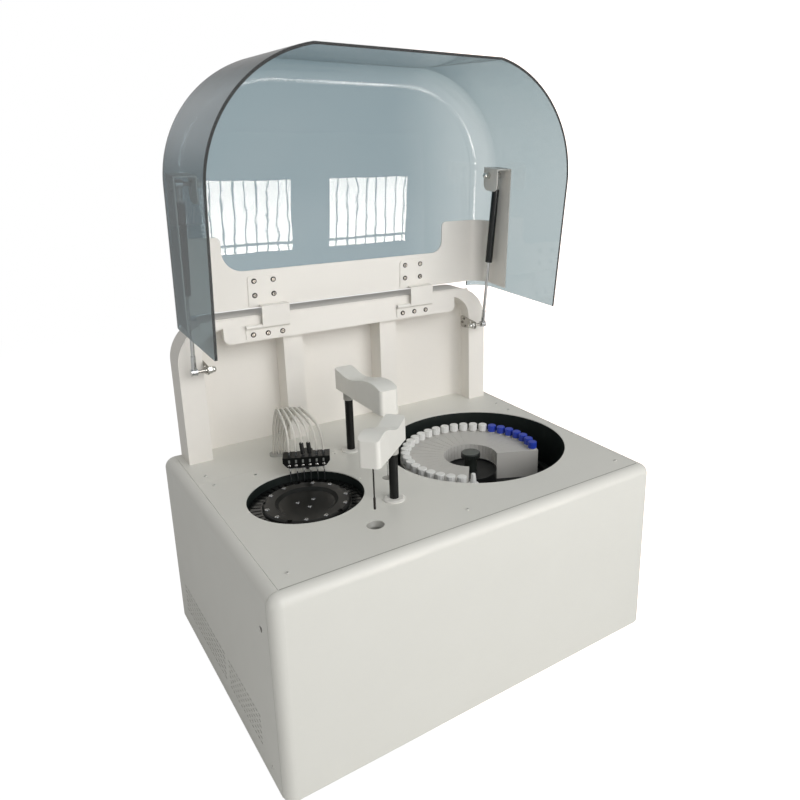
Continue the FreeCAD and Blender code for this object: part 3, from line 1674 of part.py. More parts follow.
def make_hinge_leaves_upper():
    """The upper hinge leaves, stepped back from the barrel to the lid's bracket."""
    leaves = []
    back_w = lid_panel_w + lid_wall + bracket_sheet
    thick = leaf_thick + seam_gap
    front = barrel_radius
    box_top = leaf_box_height
    outline = [(0, front - thick), (0, front), (box_top, front), (box_top, back_w),
               (box_top - thick, back_w), (box_top - thick, front - thick)]
    for x in (hinge_left_x, hinge_right_x):
        x1 = x + barrel_length / 2
        x0 = x1 - knuckle_length
        step = polygon_prism([lid_point(x0, v, w) for v, w in outline], Vector(knuckle_length, 0, 0))
        left = x - leaf_half_width
        right = x + leaf_half_width
        corners = [lid_point(left, box_top - thick, back_w), lid_point(right, box_top - thick, back_w),
                   lid_point(right, leaf_top, back_w), lid_point(left, leaf_top, back_w)]
        plate = rounded_face(corners, [0, 0, leaf_corner, leaf_corner]).extrude(Vector(0, 0, -thick))
        bore = bar(pin_radius + running_clearance, Vector(x0 - overrun, hinge_y, hinge_z),
                   Vector(x1 + overrun, hinge_y, hinge_z))
        leaf = fuse([step, plate, bar(barrel_radius, Vector(x0, hinge_y, hinge_z),
                                      Vector(x1, hinge_y, hinge_z))])
        holes = [screw_hole(seat, direction) for seat, direction in upper_leaf_seats(thick)]
        leaves.append(open_lid(cut(leaf, [bore] + holes)))
    return leaves


def make_hinge_screws_upper():
    """The screws that hold the upper leaves to the lid's bracket."""
    thick = leaf_thick + seam_gap
    screws = []
    for seat, direction in upper_leaf_seats(thick):
        head = screw(seat, direction)
        stop = box(seat.x - overrun, seat.x + overrun, seat.y - overrun, seat.y + overrun,
                   hinge_z - lid_panel_w - lid_wall, hinge_z - lid_panel_w + overrun)
        screws.append(open_lid(head.cut(stop)))
    return screws


def strut_direction():
    """Unit vector along the open strut, from its lower ball to its upper one."""
    return Vector(0, upper_ball_y - lower_ball_y, upper_ball_height - lower_ball_height).normalize()


def strut_point(side, distance):
    """A point on the open strut, counted from its lower ball."""
    lower = Vector(side * strut_x, lower_ball_y, deck_top + lower_ball_height)
    return lower + strut_direction() * distance


def strut_length():
    """Length between the balls of the open strut."""
    return Vector(0, upper_ball_y - lower_ball_y, upper_ball_height - lower_ball_height).Length


def strut_housing(side, distance):
    """A round ball housing on the strut, its axis across the cabinet."""
    centre = strut_point(side, distance)
    half = Vector(fitting_width / 2, 0, 0)
    return bar(fitting_radius, centre - half, centre + half)


def make_strut_rod(side):
    """A strut's bright rod with its piston and its lower end fitting."""
    rod_end = strut_tube_start + strut_mouth + piston_tail
    pieces = [bar(strut_rod_radius, strut_point(side, fitting_radius), strut_point(side, rod_end)),
              bar(strut_tube_bore - running_clearance * 2, strut_point(side, rod_end - piston_length),
                  strut_point(side, rod_end)),
              bar(fitting_neck_radius, strut_point(side, fitting_radius / 2),
                  strut_point(side, fitting_neck_end)),
              strut_housing(side, 0)]
    return fuse(pieces)


def make_strut_tube(side):
    """A strut's black pressure tube with its upper end fitting."""
    start = strut_tube_start
    end = strut_tube_start + strut_tube_length
    total = strut_length()
    body = bar(strut_tube_radius, strut_point(side, start), strut_point(side, end))
    bore = bar(strut_tube_bore, strut_point(side, start + strut_mouth),
               strut_point(side, start + strut_mouth + piston_tail + strut_stroke + piston_length))
    mouth = bar(strut_rod_radius + running_clearance, strut_point(side, start - overrun),
                strut_point(side, start + strut_mouth + overrun))
    neck = bar(fitting_neck_radius, strut_point(side, end), strut_point(side, total - fitting_radius / 2))
    floor = strut_point(side, total) + Vector(side * (ball_radius + bore_clearance), 0, 0)
    inward = Vector(-side * (fitting_width + overrun), 0, 0)
    socket = bar(ball_radius + bore_clearance, floor, floor + inward)
    return cut(fuse([body, neck, strut_housing(side, total)]), [bore, mouth, socket])


def make_power_supply():
    """The power supply in its case, on the cabinet's floor."""
    z = foot_height + sheet
    x = supply_width / 2
    y = supply_depth / 2
    case = box(supply_x - x, supply_x + x, supply_y - y, supply_y + y, z, z + supply_height)
    upright = [e for e in case.Edges if abs(e.tangentAt(e.FirstParameter).z) > 0.5]
    case = case.makeFillet(vent_land, upright)
    slots = []
    count = cap_ribs
    pitch = supply_width / (count + 1)
    for i in range(count):
        left = supply_x - x + pitch * (i + 0.75)
        slots.append(box(left, left + pitch / 2, supply_y - y * 0.7, supply_y + y * 0.7,
                         z + supply_height - sheet, z + supply_height + overrun))
    return cut(case, slots)


def make_control_board():
    """The control board on its posts."""
    z = foot_height + sheet
    x = board_width / 2
    y = board_depth / 2
    top = z + board_post
    pieces = [box(board_x - x, board_x + x, board_y - y, board_y + y, top, top + board_thick)]
    for sx in (-1, 1):
        for sy in (-1, 1):
            px = board_x + sx * (x - board_post_radius * 2)
            py = board_y + sy * (y - board_post_radius * 2)
            pieces.append(post(board_post_radius, px, py, z, top))
    for i in (-1, 0, 1):
        left = board_x + i * board_chip * 2 - board_chip / 2
        pieces.append(box(left, left + board_chip, board_y - board_chip / 2, board_y + board_chip / 2,
                          top + board_thick, top + board_thick * 3))
    return fuse(pieces)


def make_cooling_fan():
    """The axial fan behind the rear panel's grille."""
    z = foot_height + fan_height
    back = half_depth - sheet
    front = back - fan_depth
    half = fan_size / 2
    frame = box(fan_x - half, fan_x + half, front, back, z - half, z + half)
    start = Vector(fan_x, front - overrun, z)
    end = Vector(fan_x, back + overrun, z)
    frame = frame.cut(bar(half - fan_ring, start, end))
    hub = bar(fan_hub_radius, Vector(fan_x, front, z), Vector(fan_x, back - sheet, z))
    blades = []
    for i in range(fan_blades):
        blade = box(fan_x, fan_x + half - fan_ring / 2, front + fan_ring, back - fan_ring * 2,
                    z - blade_thick / 2, z + blade_thick / 2)
        blade.rotate(Vector(fan_x, front, z), Vector(0, 1, 0), i * full_turn / fan_blades)
        blades.append(blade)
    return fuse([frame, hub] + blades)


def make_photometer():
    """The lamp and photometer housing beside the reaction well."""
    back = reaction_y - reaction_radius - well_wall - soft_clearance
    low = deck_top - lamp_drop
    x = lamp_width / 2
    body = box(reaction_x - x, reaction_x + x, back - lamp_depth, back, low, low + lamp_height)
    upright = [e for e in body.Edges if abs(e.tangentAt(e.FirstParameter).z) > 0.5]
    body = body.makeFillet(vent_land, upright)
    lens_start = Vector(reaction_x, back - lamp_depth, low + lamp_height / 2)
    lens = bar(lens_radius, lens_start, lens_start + Vector(0, -lens_length, 0))
    return fuse([body, lens])


def make_fluid_pump():
    """The diaphragm pump that feeds the wash wells, on the cabinet's floor."""
    z = foot_height + sheet
    axis_z = z + pump_foot + pump_radius
    x = pump_length / 2
    drum = bar(pump_radius, Vector(pump_x - x, pump_y + pump_radius, axis_z),
               Vector(pump_x + x, pump_y + pump_radius, axis_z))
    foot = box(pump_x - x / 2, pump_x + x / 2, pump_y + pump_radius / 2, pump_y + pump_radius * 1.5,
               z, z + pump_foot + pump_radius / 2)
    head = box(pump_x + x, pump_x + x + pump_radius, pump_y + pump_radius / 2, pump_y + pump_radius * 1.5,
               axis_z - pump_radius / 2, axis_z + pump_radius / 2)
    return fuse([drum, foot, head])


def make_power_inlet():
    """The mains inlet, a recessed socket with three pins, flush with the back."""
    z = foot_height + inlet_z
    x = inlet_width / 2 - bore_clearance
    h = inlet_height / 2 - bore_clearance
    body = box(inlet_x - x, inlet_x + x, half_depth - inlet_depth, half_depth, z - h, z + h)
    sx = inlet_socket_width / 2
    sh = inlet_socket_height / 2
    floor = half_depth - inlet_socket_depth
    chamfer = inlet_socket_height / 4
    corners = [Vector(inlet_x - sx, floor, z - sh), Vector(inlet_x + sx, floor, z - sh),
               Vector(inlet_x + sx, floor, z + sh - chamfer), Vector(inlet_x + sx - chamfer, floor, z + sh),
               Vector(inlet_x - sx + chamfer, floor, z + sh), Vector(inlet_x - sx, floor, z + sh - chamfer)]
    socket = polygon_prism(corners, Vector(0, inlet_socket_depth + overrun, 0))
    pins = []
    for i in (-1, 0, 1):
        px = inlet_x + i * inlet_pin_pitch
        pz = z + inlet_pin_thick * (1 if i == 0 else -1)
        pins.append(box(px - inlet_pin_thick / 2, px + inlet_pin_thick / 2, floor, floor + inlet_pin_length,
                        pz - inlet_pin_width / 2, pz + inlet_pin_width / 2))
    return fuse([body.cut(socket)] + pins)


os.makedirs("parts", exist_ok=True)
bends = []
volumes = []

save("feet", make_feet())
save("base_pan", [make_base_pan()])
save("side_panel_left", [make_side_panel(-1)])
save("side_panel_right", [make_side_panel(1)])
save("front_cover", [make_front_cover()])
save("rear_panel", [make_rear_panel()])
save("deck_front_plate", [make_deck_front_plate()])
save("deck_rear_plate", [make_deck_rear_plate()])
save("deck_frame", [make_deck_frame()])
save("cover_screws", make_cover_screws())
save("portal_frame", [make_portal_frame()])
save("back_panel", [make_back_panel()])
save("support_members", make_support_members())
save("hinge_beam", [make_hinge_beam()])
save("hinge_leaves_lower", make_hinge_leaves_lower())
save("hinge_pins", make_hinge_pins())
save("portal_screws", make_portal_screws())
save("strut_brackets", make_strut_brackets())
save("lower_ball_studs", make_lower_ball_studs())
save("reaction_well", [make_well(reaction_radius, reaction_depth, reaction_x, reaction_y, reaction_x,
                                 reaction_y)])
save("reagent_well", [make_well(reagent_radius, reagent_depth, reagent_x, reagent_y, carousel_x,
                                carousel_y)])
save("wash_wells", make_wash_wells())
save("rotor_motors", make_rotor_motors())
save("arm_guides", make_arm_guides())
save("tube_grommet", [make_tube_grommet()])
save("power_supply", [make_power_supply()])
save("control_board", [make_control_board()])
save("cooling_fan", [make_cooling_fan()])
save("photometer", [make_photometer()])
save("fluid_pump", [make_fluid_pump()])
save("power_inlet", [make_power_inlet()])
save("lid_cover", [make_lid_cover()])
save("lid_bracket", [make_lid_bracket()])
save("hinge_leaves_upper", make_hinge_leaves_upper())
save("hinge_screws_upper", make_hinge_screws_upper())
save("upper_ball_studs", make_upper_ball_studs())
for name, side in (("left", -1), ("right", 1)):
    save("strut_rod_" + name, [make_strut_rod(side)])
    save("strut_tube_" + name, [make_strut_tube(side)])
save("reaction_disc", [make_reaction_disc()])
save("cuvette_ring", make_cuvette_ring())
save("reaction_screws", make_reaction_screws())
save("reagent_tray", [make_reagent_tray()])
save("reagent_bottles", make_reagent_bottles())
save("blue_caps", make_blue_caps())
save("white_caps", make_white_caps())
save("reagent_knob", [make_reagent_knob()])
sampling = (sampling_x, sampling_y, sampling_rise, sampling_reach, sampling_heading)
stirring = (stirring_x, stirring_y, stirring_rise, stirring_reach, stirring_heading)
save("sampling_carriage", [make_carriage(sampling_x, sampling_y)])
save("sampling_column", [make_arm_column(*sampling)])
save("sampling_cover", [make_arm_cover(*sampling)])
save("sampling_needle", [make_sampling_needle()])
save("stirring_carriage", [make_carriage(stirring_x, stirring_y)])
save("stirring_column", [make_arm_column(*stirring)])
save("stirring_cover", [make_arm_cover(*stirring)])
save("stirrer", [make_stirrer()])
save("wash_head_block", [make_wash_head_block()])
save("wash_needles", [make_wash_needles()])
save("wash_head_post", [make_wash_head_post()])
save("wash_tubes", make_wash_tubes())
print("tube bend radii", round(min(bends), 1), "to", round(max(bends), 1))
print("tube volume over section times length", round(min(volumes), 4), "to", round(max(volumes), 4))
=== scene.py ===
import bmesh
import bpy
import math
from mathutils import Matrix, Vector


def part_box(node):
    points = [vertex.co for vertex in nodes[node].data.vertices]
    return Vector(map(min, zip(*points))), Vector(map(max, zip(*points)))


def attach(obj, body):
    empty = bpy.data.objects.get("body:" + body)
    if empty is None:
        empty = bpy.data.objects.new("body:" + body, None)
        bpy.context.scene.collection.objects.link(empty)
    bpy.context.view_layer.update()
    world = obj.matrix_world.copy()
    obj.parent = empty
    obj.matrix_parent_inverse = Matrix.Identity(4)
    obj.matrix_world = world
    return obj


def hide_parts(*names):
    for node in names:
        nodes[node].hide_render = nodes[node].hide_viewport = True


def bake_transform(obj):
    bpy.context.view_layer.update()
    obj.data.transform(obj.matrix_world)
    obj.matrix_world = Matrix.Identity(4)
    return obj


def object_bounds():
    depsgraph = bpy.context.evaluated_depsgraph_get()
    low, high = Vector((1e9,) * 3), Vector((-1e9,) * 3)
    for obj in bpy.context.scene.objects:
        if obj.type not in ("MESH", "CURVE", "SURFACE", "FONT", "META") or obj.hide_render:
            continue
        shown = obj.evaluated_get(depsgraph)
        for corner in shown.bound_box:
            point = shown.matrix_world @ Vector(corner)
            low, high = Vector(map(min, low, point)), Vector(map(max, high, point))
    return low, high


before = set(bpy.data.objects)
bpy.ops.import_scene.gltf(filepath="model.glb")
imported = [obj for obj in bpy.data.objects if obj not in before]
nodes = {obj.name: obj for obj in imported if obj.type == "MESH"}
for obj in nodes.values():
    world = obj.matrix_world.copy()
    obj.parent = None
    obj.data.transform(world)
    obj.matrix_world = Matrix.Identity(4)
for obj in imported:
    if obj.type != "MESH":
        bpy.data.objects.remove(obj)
cad_low, cad_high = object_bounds()
scene = bpy.context.scene
mm = 0.001

# Studio: a white floor, one large soft lamp at the front right and an even fill. The
# camera stands at the instrument's front left, above the level of the lid's hinge. Two
# barred windows at the front right, out of its view, are mirrored in the lid's panel.
camera_place = Vector((-0.7342, -1.3030, 1.0989))
camera_yaw = 0.634
camera_pitch = -0.285
camera_roll = 0.006
focal_share = 0.914
axis_right_share = 0.1114
axis_up_share = 0.0562
sensor = 36.0

camera_data = bpy.data.cameras.new("camera")
camera = bpy.data.objects.new("camera", camera_data)
scene.collection.objects.link(camera)
scene.camera = camera
camera_data.sensor_width = sensor
camera_data.lens = sensor * focal_share
camera_data.shift_x = -axis_right_share
camera_data.shift_y = -axis_up_share
camera_data.clip_start = 0.05
camera_data.clip_end = 60
ahead = Vector((math.sin(camera_yaw) * math.cos(camera_pitch),
                math.cos(camera_yaw) * math.cos(camera_pitch), math.sin(camera_pitch)))
level = Vector((math.cos(camera_yaw), -math.sin(camera_yaw), 0))
upright = level.cross(ahead)
right = level * math.cos(camera_roll) + upright * math.sin(camera_roll)
above = right.cross(ahead)
turn = Matrix((right, above, -ahead)).transposed().to_4x4()
camera.matrix_world = Matrix.Translation(camera_place) @ turn

scene.view_settings.view_transform = "Standard"


def colour(code):
    """A linear colour from an sRGB hex value."""
    parts = [int(code[i:i + 2], 16) / 255 for i in (1, 3, 5)]
    return [p / 12.92 if p <= 0.04045 else ((p + 0.055) / 1.055) ** 2.4 for p in parts] + [1]


def add(tree, kind, links=None, **settings):
    """One node with its settings; links gives each input a socket or a value."""
    made = tree.nodes.new(kind)
    for name, value in settings.items():
        setattr(made, name, value)
    for name, value in (links or {}).items():
        if isinstance(value, bpy.types.NodeSocket):
            tree.links.new(value, made.inputs[name])
        else:
            made.inputs[name].default_value = value
    return made


def reckon(tree, operation, *values):
    """The result of a math node."""
    return add(tree, "ShaderNodeMath", dict(enumerate(values)), operation=operation).outputs[0]


def fade(tree, value, start, end):
    """A smooth ramp from 0 at start to 1 at end."""
    return add(tree, "ShaderNodeMapRange", {"Value": value, "From Min": start, "From Max": end},
               interpolation_type="SMOOTHSTEP").outputs[0]


def blank_material(name):
    """A material without a shader, its node tree and its texture coordinates."""
    made = bpy.data.materials.new(name)
    made.use_nodes = True
    made.node_tree.nodes.clear()
    return made, made.node_tree, add(made.node_tree, "ShaderNodeTexCoord")


def seen_straight(ray):
    """1 where the eye looks straight or through clear material, 0 for all other light."""
    return reckon(ray.id_data, "MAXIMUM", ray.outputs["Is Camera Ray"], ray.outputs["Is Transmission Ray"])


# The backdrop is white, with a brighter sector at the right whose ramps are azimuths.
glare_rise, glare_fall = (0.50, 0.63), (1.9, 1.3)
glare_light = (1.9, 1.68, 1.58, 1)


def backdrop_tone(tree, azimuth):
    """The backdrop's light in a direction."""
    sector = reckon(tree, "MULTIPLY", fade(tree, azimuth, *glare_rise), fade(tree, azimuth, *glare_fall))
    mixed = add(tree, "ShaderNodeMixRGB", {"Fac": sector, "Color1": colour("#FFFFFF"),
                                           "Color2": glare_light})
    return mixed.outputs[0]


# Reflections see a pale wall at the back left, above the floor, and the even fill.
fill_strength = 0.40
wall_share = 0.55
wall_right, wall_left, wall_rise = (0.2, -0.1), (-2.2, -1.6), (-0.02, 0.2)
world = bpy.data.worlds.new("studio")
scene.world = world
world.use_nodes = True
tree = world.node_tree
tree.nodes.clear()
ray = add(tree, "ShaderNodeLightPath")
look = add(tree, "ShaderNodeTexCoord")
heading = add(tree, "ShaderNodeSeparateXYZ", {"Vector": look.outputs["Generated"]})
azimuth = reckon(tree, "ARCTAN2", heading.outputs["X"], heading.outputs["Y"])
sector = reckon(tree, "MULTIPLY", fade(tree, azimuth, *wall_right), fade(tree, azimuth, *wall_left))
wall = reckon(tree, "MULTIPLY", sector, fade(tree, heading.outputs["Z"], *wall_rise))
gleam = reckon(tree, "MULTIPLY", ray.outputs["Is Glossy Ray"], reckon(tree, "MULTIPLY", wall, wall_share))
seen = reckon(tree, "MAXIMUM", gleam, seen_straight(ray))
soft = add(tree, "ShaderNodeBackground", {"Color": colour("#F4F4F3"), "Strength": fill_strength})
white = add(tree, "ShaderNodeBackground", {"Color": backdrop_tone(tree, azimuth), "Strength": 1.0})
both = add(tree, "ShaderNodeMixShader", {0: seen, 1: soft.outputs[0], 2: white.outputs[0]})
add(tree, "ShaderNodeOutputWorld", {"Surface": both.outputs[0]})

# The floor is matt paper that takes the shadow near the instrument and fades into the
# backdrop's light further out. Its brighter sector spreads from a fixed point, the place
# where the photograph was taken, so that it meets the backdrop's sector in that view.
floor_half = 9.0
floor_glow, floor_glow_share = 1.2, 0.80
floor_near, floor_far = 1.0, 3.5
floor_mesh = bpy.data.meshes.new("floor")
floor_mesh.from_pydata([(-floor_half, -floor_half, 0), (floor_half, -floor_half, 0),
                        (floor_half, floor_half, 0), (-floor_half, floor_half, 0)], [], [(0, 1, 2, 3)])
floor = bpy.data.objects.new("floor", floor_mesh)
scene.collection.objects.link(floor)
paper, tree, place = blank_material("matt_paper_floor")
ray = add(tree, "ShaderNodeLightPath")
reach = add(tree, "ShaderNodeVectorMath", {0: place.outputs["Object"]}, operation="LENGTH")
far = fade(tree, reach.outputs["Value"], floor_near, floor_far)
cover = add(tree, "ShaderNodeMapRange", {"Value": far, "To Min": floor_glow_share, "To Max": 1.0})
share = reckon(tree, "MULTIPLY", seen_straight(ray), cover.outputs[0])
offset = add(tree, "ShaderNodeVectorMath", {0: place.outputs["Object"],
                                            1: (camera_place.x, camera_place.y, 0)}, operation="SUBTRACT")
heading = add(tree, "ShaderNodeSeparateXYZ", {"Vector": offset.outputs["Vector"]})
azimuth = reckon(tree, "ARCTAN2", heading.outputs["X"], heading.outputs["Y"])
glow = add(tree, "ShaderNodeMapRange", {"Value": far, "To Min": floor_glow, "To Max": 1.0})
sheet = add(tree, "ShaderNodeBsdfDiffuse", {"Color": colour("#F2F2F1")})
lit = add(tree, "ShaderNodeEmission", {"Color": backdrop_tone(tree, azimuth), "Strength": glow.outputs[0]})
both = add(tree, "ShaderNodeMixShader", {0: share, 1: sheet.outputs[0], 2: lit.outputs[0]})
add(tree, "ShaderNodeOutputMaterial", {"Surface": both.outputs[0]})
floor_mesh.materials.append(paper)

# The soft lamp faces the instrument's middle and isn't seen through clear material.
lamp_place = Vector((0.9, -3.7, 2.7))
lamp_width, lamp_height, lamp_power = 4.2, 2.8, 122
lamp_data = bpy.data.lights.new("key_softbox", "AREA")
lamp_data.shape = "RECTANGLE"
lamp_data.size = lamp_width
lamp_data.size_y = lamp_height
lamp_data.energy = lamp_power
lamp = bpy.data.objects.new("key_softbox", lamp_data)
scene.collection.objects.link(lamp)
lamp.location = lamp_place
lamp.rotation_euler = ((cad_low + cad_high) / 2 - lamp_place).to_track_quat("-Z", "Y").to_euler()
lamp.visible_transmission = False

# The windows have upright bars and a sill bar, a little wavy. They shine towards the
# instrument alone, and only gloss and mirrors show them.
window_back = -2.0
window_low, window_high = 0.225, 0.605
window_spans = {"window_left": (0.30, 0.77), "window_right": (0.99, 1.48)}
window_light, window_top_share, window_foot_share = 19, 0.8, 1.1
window_bars, bar_share, bar_light = 8, 0.14, 0.08
sill_height, sill_half = 0.11, 0.02
wave_scale, wave_reach = 14.0, 0.09
daylight, tree, place = blank_material("barred_daylight_window")
spot = add(tree, "ShaderNodeSeparateXYZ", {"Vector": place.outputs["UV"]})
ripple = add(tree, "ShaderNodeTexNoise", {"Vector": place.outputs["Object"], "Scale": wave_scale,
                                          "Detail": 1.0})
shifted = reckon(tree, "MULTIPLY_ADD", ripple.outputs["Fac"], wave_reach, spot.outputs["X"])
phase = reckon(tree, "FRACT", reckon(tree, "MULTIPLY", shifted, window_bars))
sill = reckon(tree, "COMPARE", spot.outputs["Y"], sill_height, sill_half)
pane_share = reckon(tree, "MULTIPLY", reckon(tree, "GREATER_THAN", phase, bar_share),
                    reckon(tree, "SUBTRACT", 1.0, sill))
sky = add(tree, "ShaderNodeMapRange", {"Value": spot.outputs["Y"],
                                       "To Min": window_light * window_foot_share,
                                       "To Max": window_light * window_top_share})
shade = add(tree, "ShaderNodeMapRange", {"Value": pane_share, "To Min": bar_light, "To Max": 1.0})
side = add(tree, "ShaderNodeNewGeometry")
strength = reckon(tree, "MULTIPLY", reckon(tree, "MULTIPLY", sky.outputs[0], shade.outputs[0]),
                  reckon(tree, "SUBTRACT", 1.0, side.outputs["Backfacing"]))
glow = add(tree, "ShaderNodeEmission", {"Color": colour("#FFF8F2"), "Strength": strength})
add(tree, "ShaderNodeOutputMaterial", {"Surface": glow.outputs[0]})
for name, (first, last) in window_spans.items():
    pane = bpy.data.meshes.new(name)
    corners = [(last, window_back, window_low), (first, window_back, window_low),
               (first, window_back, window_high), (last, window_back, window_high)]
    pane.from_pydata(corners, [], [(0, 1, 2, 3)])
    layer = pane.uv_layers.new(name="spread")
    for corner, spread in zip(layer.data, ((1, 0), (0, 0), (0, 1), (1, 1))):
        corner.uv = spread
    pane.materials.append(daylight)
    window = bpy.data.objects.new(name, pane)
    scene.collection.objects.link(window)
    window.visible_camera = False
    window.visible_diffuse = False
    window.visible_transmission = False
    window.visible_shadow = False

# Cabinet: a base pan, two sides, a front cover, a rear panel and a two-part deck,
# all folded steel sheet with an electrostatic powder coat, baked to a satin gray
# that has the faint orange peel of such a coat. The covers are screwed on.
cabinet_gray = "#E3E2DB"
coat_peel = 1.6 * mm
coat_cloud = 90 * mm
coat_shade_share = 0.965


def shaded(shade, share):
    """A linear colour with a share of an sRGB hex value's light."""
    return [c * share for c in colour(shade)[:3]] + [1]


def powder_coat(name, shade, gloss_low, gloss_high):
    """Baked powder on steel: satin, with orange peel and a faint cloudiness."""
    made, tree, place = blank_material(name)
    peel = add(tree, "ShaderNodeTexNoise", {"Vector": place.outputs["Object"], "Scale": 1 / coat_peel,
                                            "Detail": 2.0, "Roughness": 0.4})
    cloud = add(tree, "ShaderNodeTexNoise", {"Vector": place.outputs["Object"], "Scale": 1 / coat_cloud,
                                             "Detail": 3.0, "Roughness": 0.5})
    tone = add(tree, "ShaderNodeMixRGB", {"Fac": cloud.outputs["Fac"], "Color1": colour(shade),
                                          "Color2": shaded(shade, coat_shade_share)})
    gloss = add(tree, "ShaderNodeMapRange", {"Value": cloud.outputs["Fac"], "To Min": gloss_low,
                                             "To Max": gloss_high})
    bump = add(tree, "ShaderNodeBump", {"Height": peel.outputs["Fac"], "Strength": 0.10,
                                        "Distance": 0.05 * mm})
    body = add(tree, "ShaderNodeBsdfPrincipled", {"Base Color": tone.outputs[0], "IOR": 1.5,
                                                  "Roughness": gloss.outputs[0], "Normal": bump.outputs[0]})
    add(tree, "ShaderNodeOutputMaterial", {"Surface": body.outputs[0]})
    return made


def finish_nodes(material, *names):
    """Gives CAD nodes one material."""
    for name in names:
        mesh = nodes[name].data
        if mesh.materials:
            for i in range(len(mesh.materials)):
                mesh.materials[i] = material
        else:
            mesh.materials.append(material)


gray_coat = powder_coat("gray_powder_coat", cabinet_gray, 0.34, 0.46)
finish_nodes(gray_coat, "base_pan", "side_panel_left", "side_panel_right", "front_cover", "rear_panel",
             "deck_front_plate", "deck_rear_plate")

# Seam strip: a thin gray strip with a rubber grain, laid in the joint between the front
# cover and the deck, all along the deck's front edge: painted shade of the seam, a fine line.
seam_half, seam_deep, seam_proud = 0.9 * mm, 0.8 * mm, 0.12 * mm
seam_end_gap, seam_round = 1 * mm, 0.1 * mm
rubber_grain = 0.8 * mm
moulded_shade_share, moulded_gloss_spread = 0.9, 0.06
plate_low, plate_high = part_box("deck_front_plate")
deck = plate_high.z


def moulded(name, shade, grain, roughness, bump_strength=0.2, ior=1.47):
    """A moulded polymer: one colour, a fine spark-eroded grain and slight unevenness."""
    made, tree, place = blank_material(name)
    fine = add(tree, "ShaderNodeTexNoise", {"Vector": place.outputs["Object"], "Scale": 1 / grain,
                                            "Detail": 2.0})
    broad = add(tree, "ShaderNodeTexNoise", {"Vector": place.outputs["Object"], "Scale": 1 / (grain * 40),
                                             "Detail": 2.0})
    tone = add(tree, "ShaderNodeMixRGB", {"Fac": broad.outputs["Fac"], "Color1": colour(shade),
                                          "Color2": shaded(shade, moulded_shade_share)})
    gloss = add(tree, "ShaderNodeMapRange", {"Value": broad.outputs["Fac"],
                                             "To Min": roughness - moulded_gloss_spread,
                                             "To Max": roughness + moulded_gloss_spread})
    bump = add(tree, "ShaderNodeBump", {"Height": fine.outputs["Fac"], "Strength": bump_strength,
                                        "Distance": 0.04 * mm})
    body = add(tree, "ShaderNodeBsdfPrincipled", {"Base Color": tone.outputs[0], "IOR": ior,
                                                  "Roughness": gloss.outputs[0], "Normal": bump.outputs[0]})
    add(tree, "ShaderNodeOutputMaterial", {"Surface": body.outputs[0]})
    return made


def cuboid(place, size, turn=Matrix.Identity(4)):
    """The matrix that makes a unit cube into a block of some size at a place."""
    return Matrix.Translation(place) @ turn @ Matrix.Diagonal((*size, 1))


def blocks(name, spots, rounding, segments, finish):
    """One object of rounded blocks, each given by its matrix."""
    work = bmesh.new()
    for spot in spots:
        bmesh.ops.create_cube(work, size=1, matrix=spot)
    bmesh.ops.bevel(work, geom=work.edges[:], offset=rounding, segments=segments, affect="EDGES")
    bmesh.ops.recalc_face_normals(work, faces=work.faces)
    mesh = bpy.data.meshes.new(name)
    work.to_mesh(mesh)
    work.free()
    mesh.materials.append(finish)
    made = bpy.data.objects.new(name, mesh)
    scene.collection.objects.link(made)
    return made


# The strip's gray is painted shade along the seam.
seam_size = (plate_high.x - plate_low.x - 2 * seam_end_gap, 2 * seam_half, seam_deep + seam_proud)
seam_place = Vector((0, plate_low.y, deck + (seam_proud - seam_deep) / 2))
seam = blocks("front_seam_strip", [cuboid(seam_place, seam_size)], seam_round, 2,
              moulded("gray_sealing_strip", "#A5A39C", rubber_grain, 0.7, 0.3, 1.43))
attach(seam, "base")

# Edge glints: two small rounded blocks of moulded white nylon on the rim of the reaction
# opening, painted highlights where glints show as bright specks beside the dark well.
glint_places = ((-361 * mm, -27 * mm), (-124 * mm, -18 * mm))
glint_size = Vector((4.5, 3.2, 2.0)) * mm
glint_round = 0.7 * mm
glint_sunk = 0.1 * mm
white_nylon = moulded("white_nylon", "#F2F0EA", 0.6 * mm, 0.32, 0.1, 1.53)
glint_blocks = blocks("opening_edge_clips", [cuboid(Vector((x, y, deck + glint_size.z / 2 - glint_sunk)), glint_size)
                                      for x, y in glint_places], glint_round, 3, white_nylon)
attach(glint_blocks, "base")

# Feet: four turned pads of black nitrile rubber, screwed to the pan, dull and
# slightly speckled from the mould. The tubes' grommet is of gray silicone rubber.
nitrile_rubber = moulded("nitrile_rubber", "#161717", rubber_grain, 0.72, 0.4, 1.52)
finish_nodes(nitrile_rubber, "feet")
finish_nodes(moulded("gray_silicone_rubber", "#B9B8B3", rubber_grain, 0.6, 0.3, 1.43), "tube_grommet")

# Frame and inner units: the rails under the deck and the power supply's case are
# zinc-plated steel with a fine drawn grain; motors, pump and carriages are castings
# enamelled black; the board is green glass-epoxy laminate.
drawn_grain = 0.6 * mm
plate_shade_share, plate_gloss_spread = 0.8, 0.07


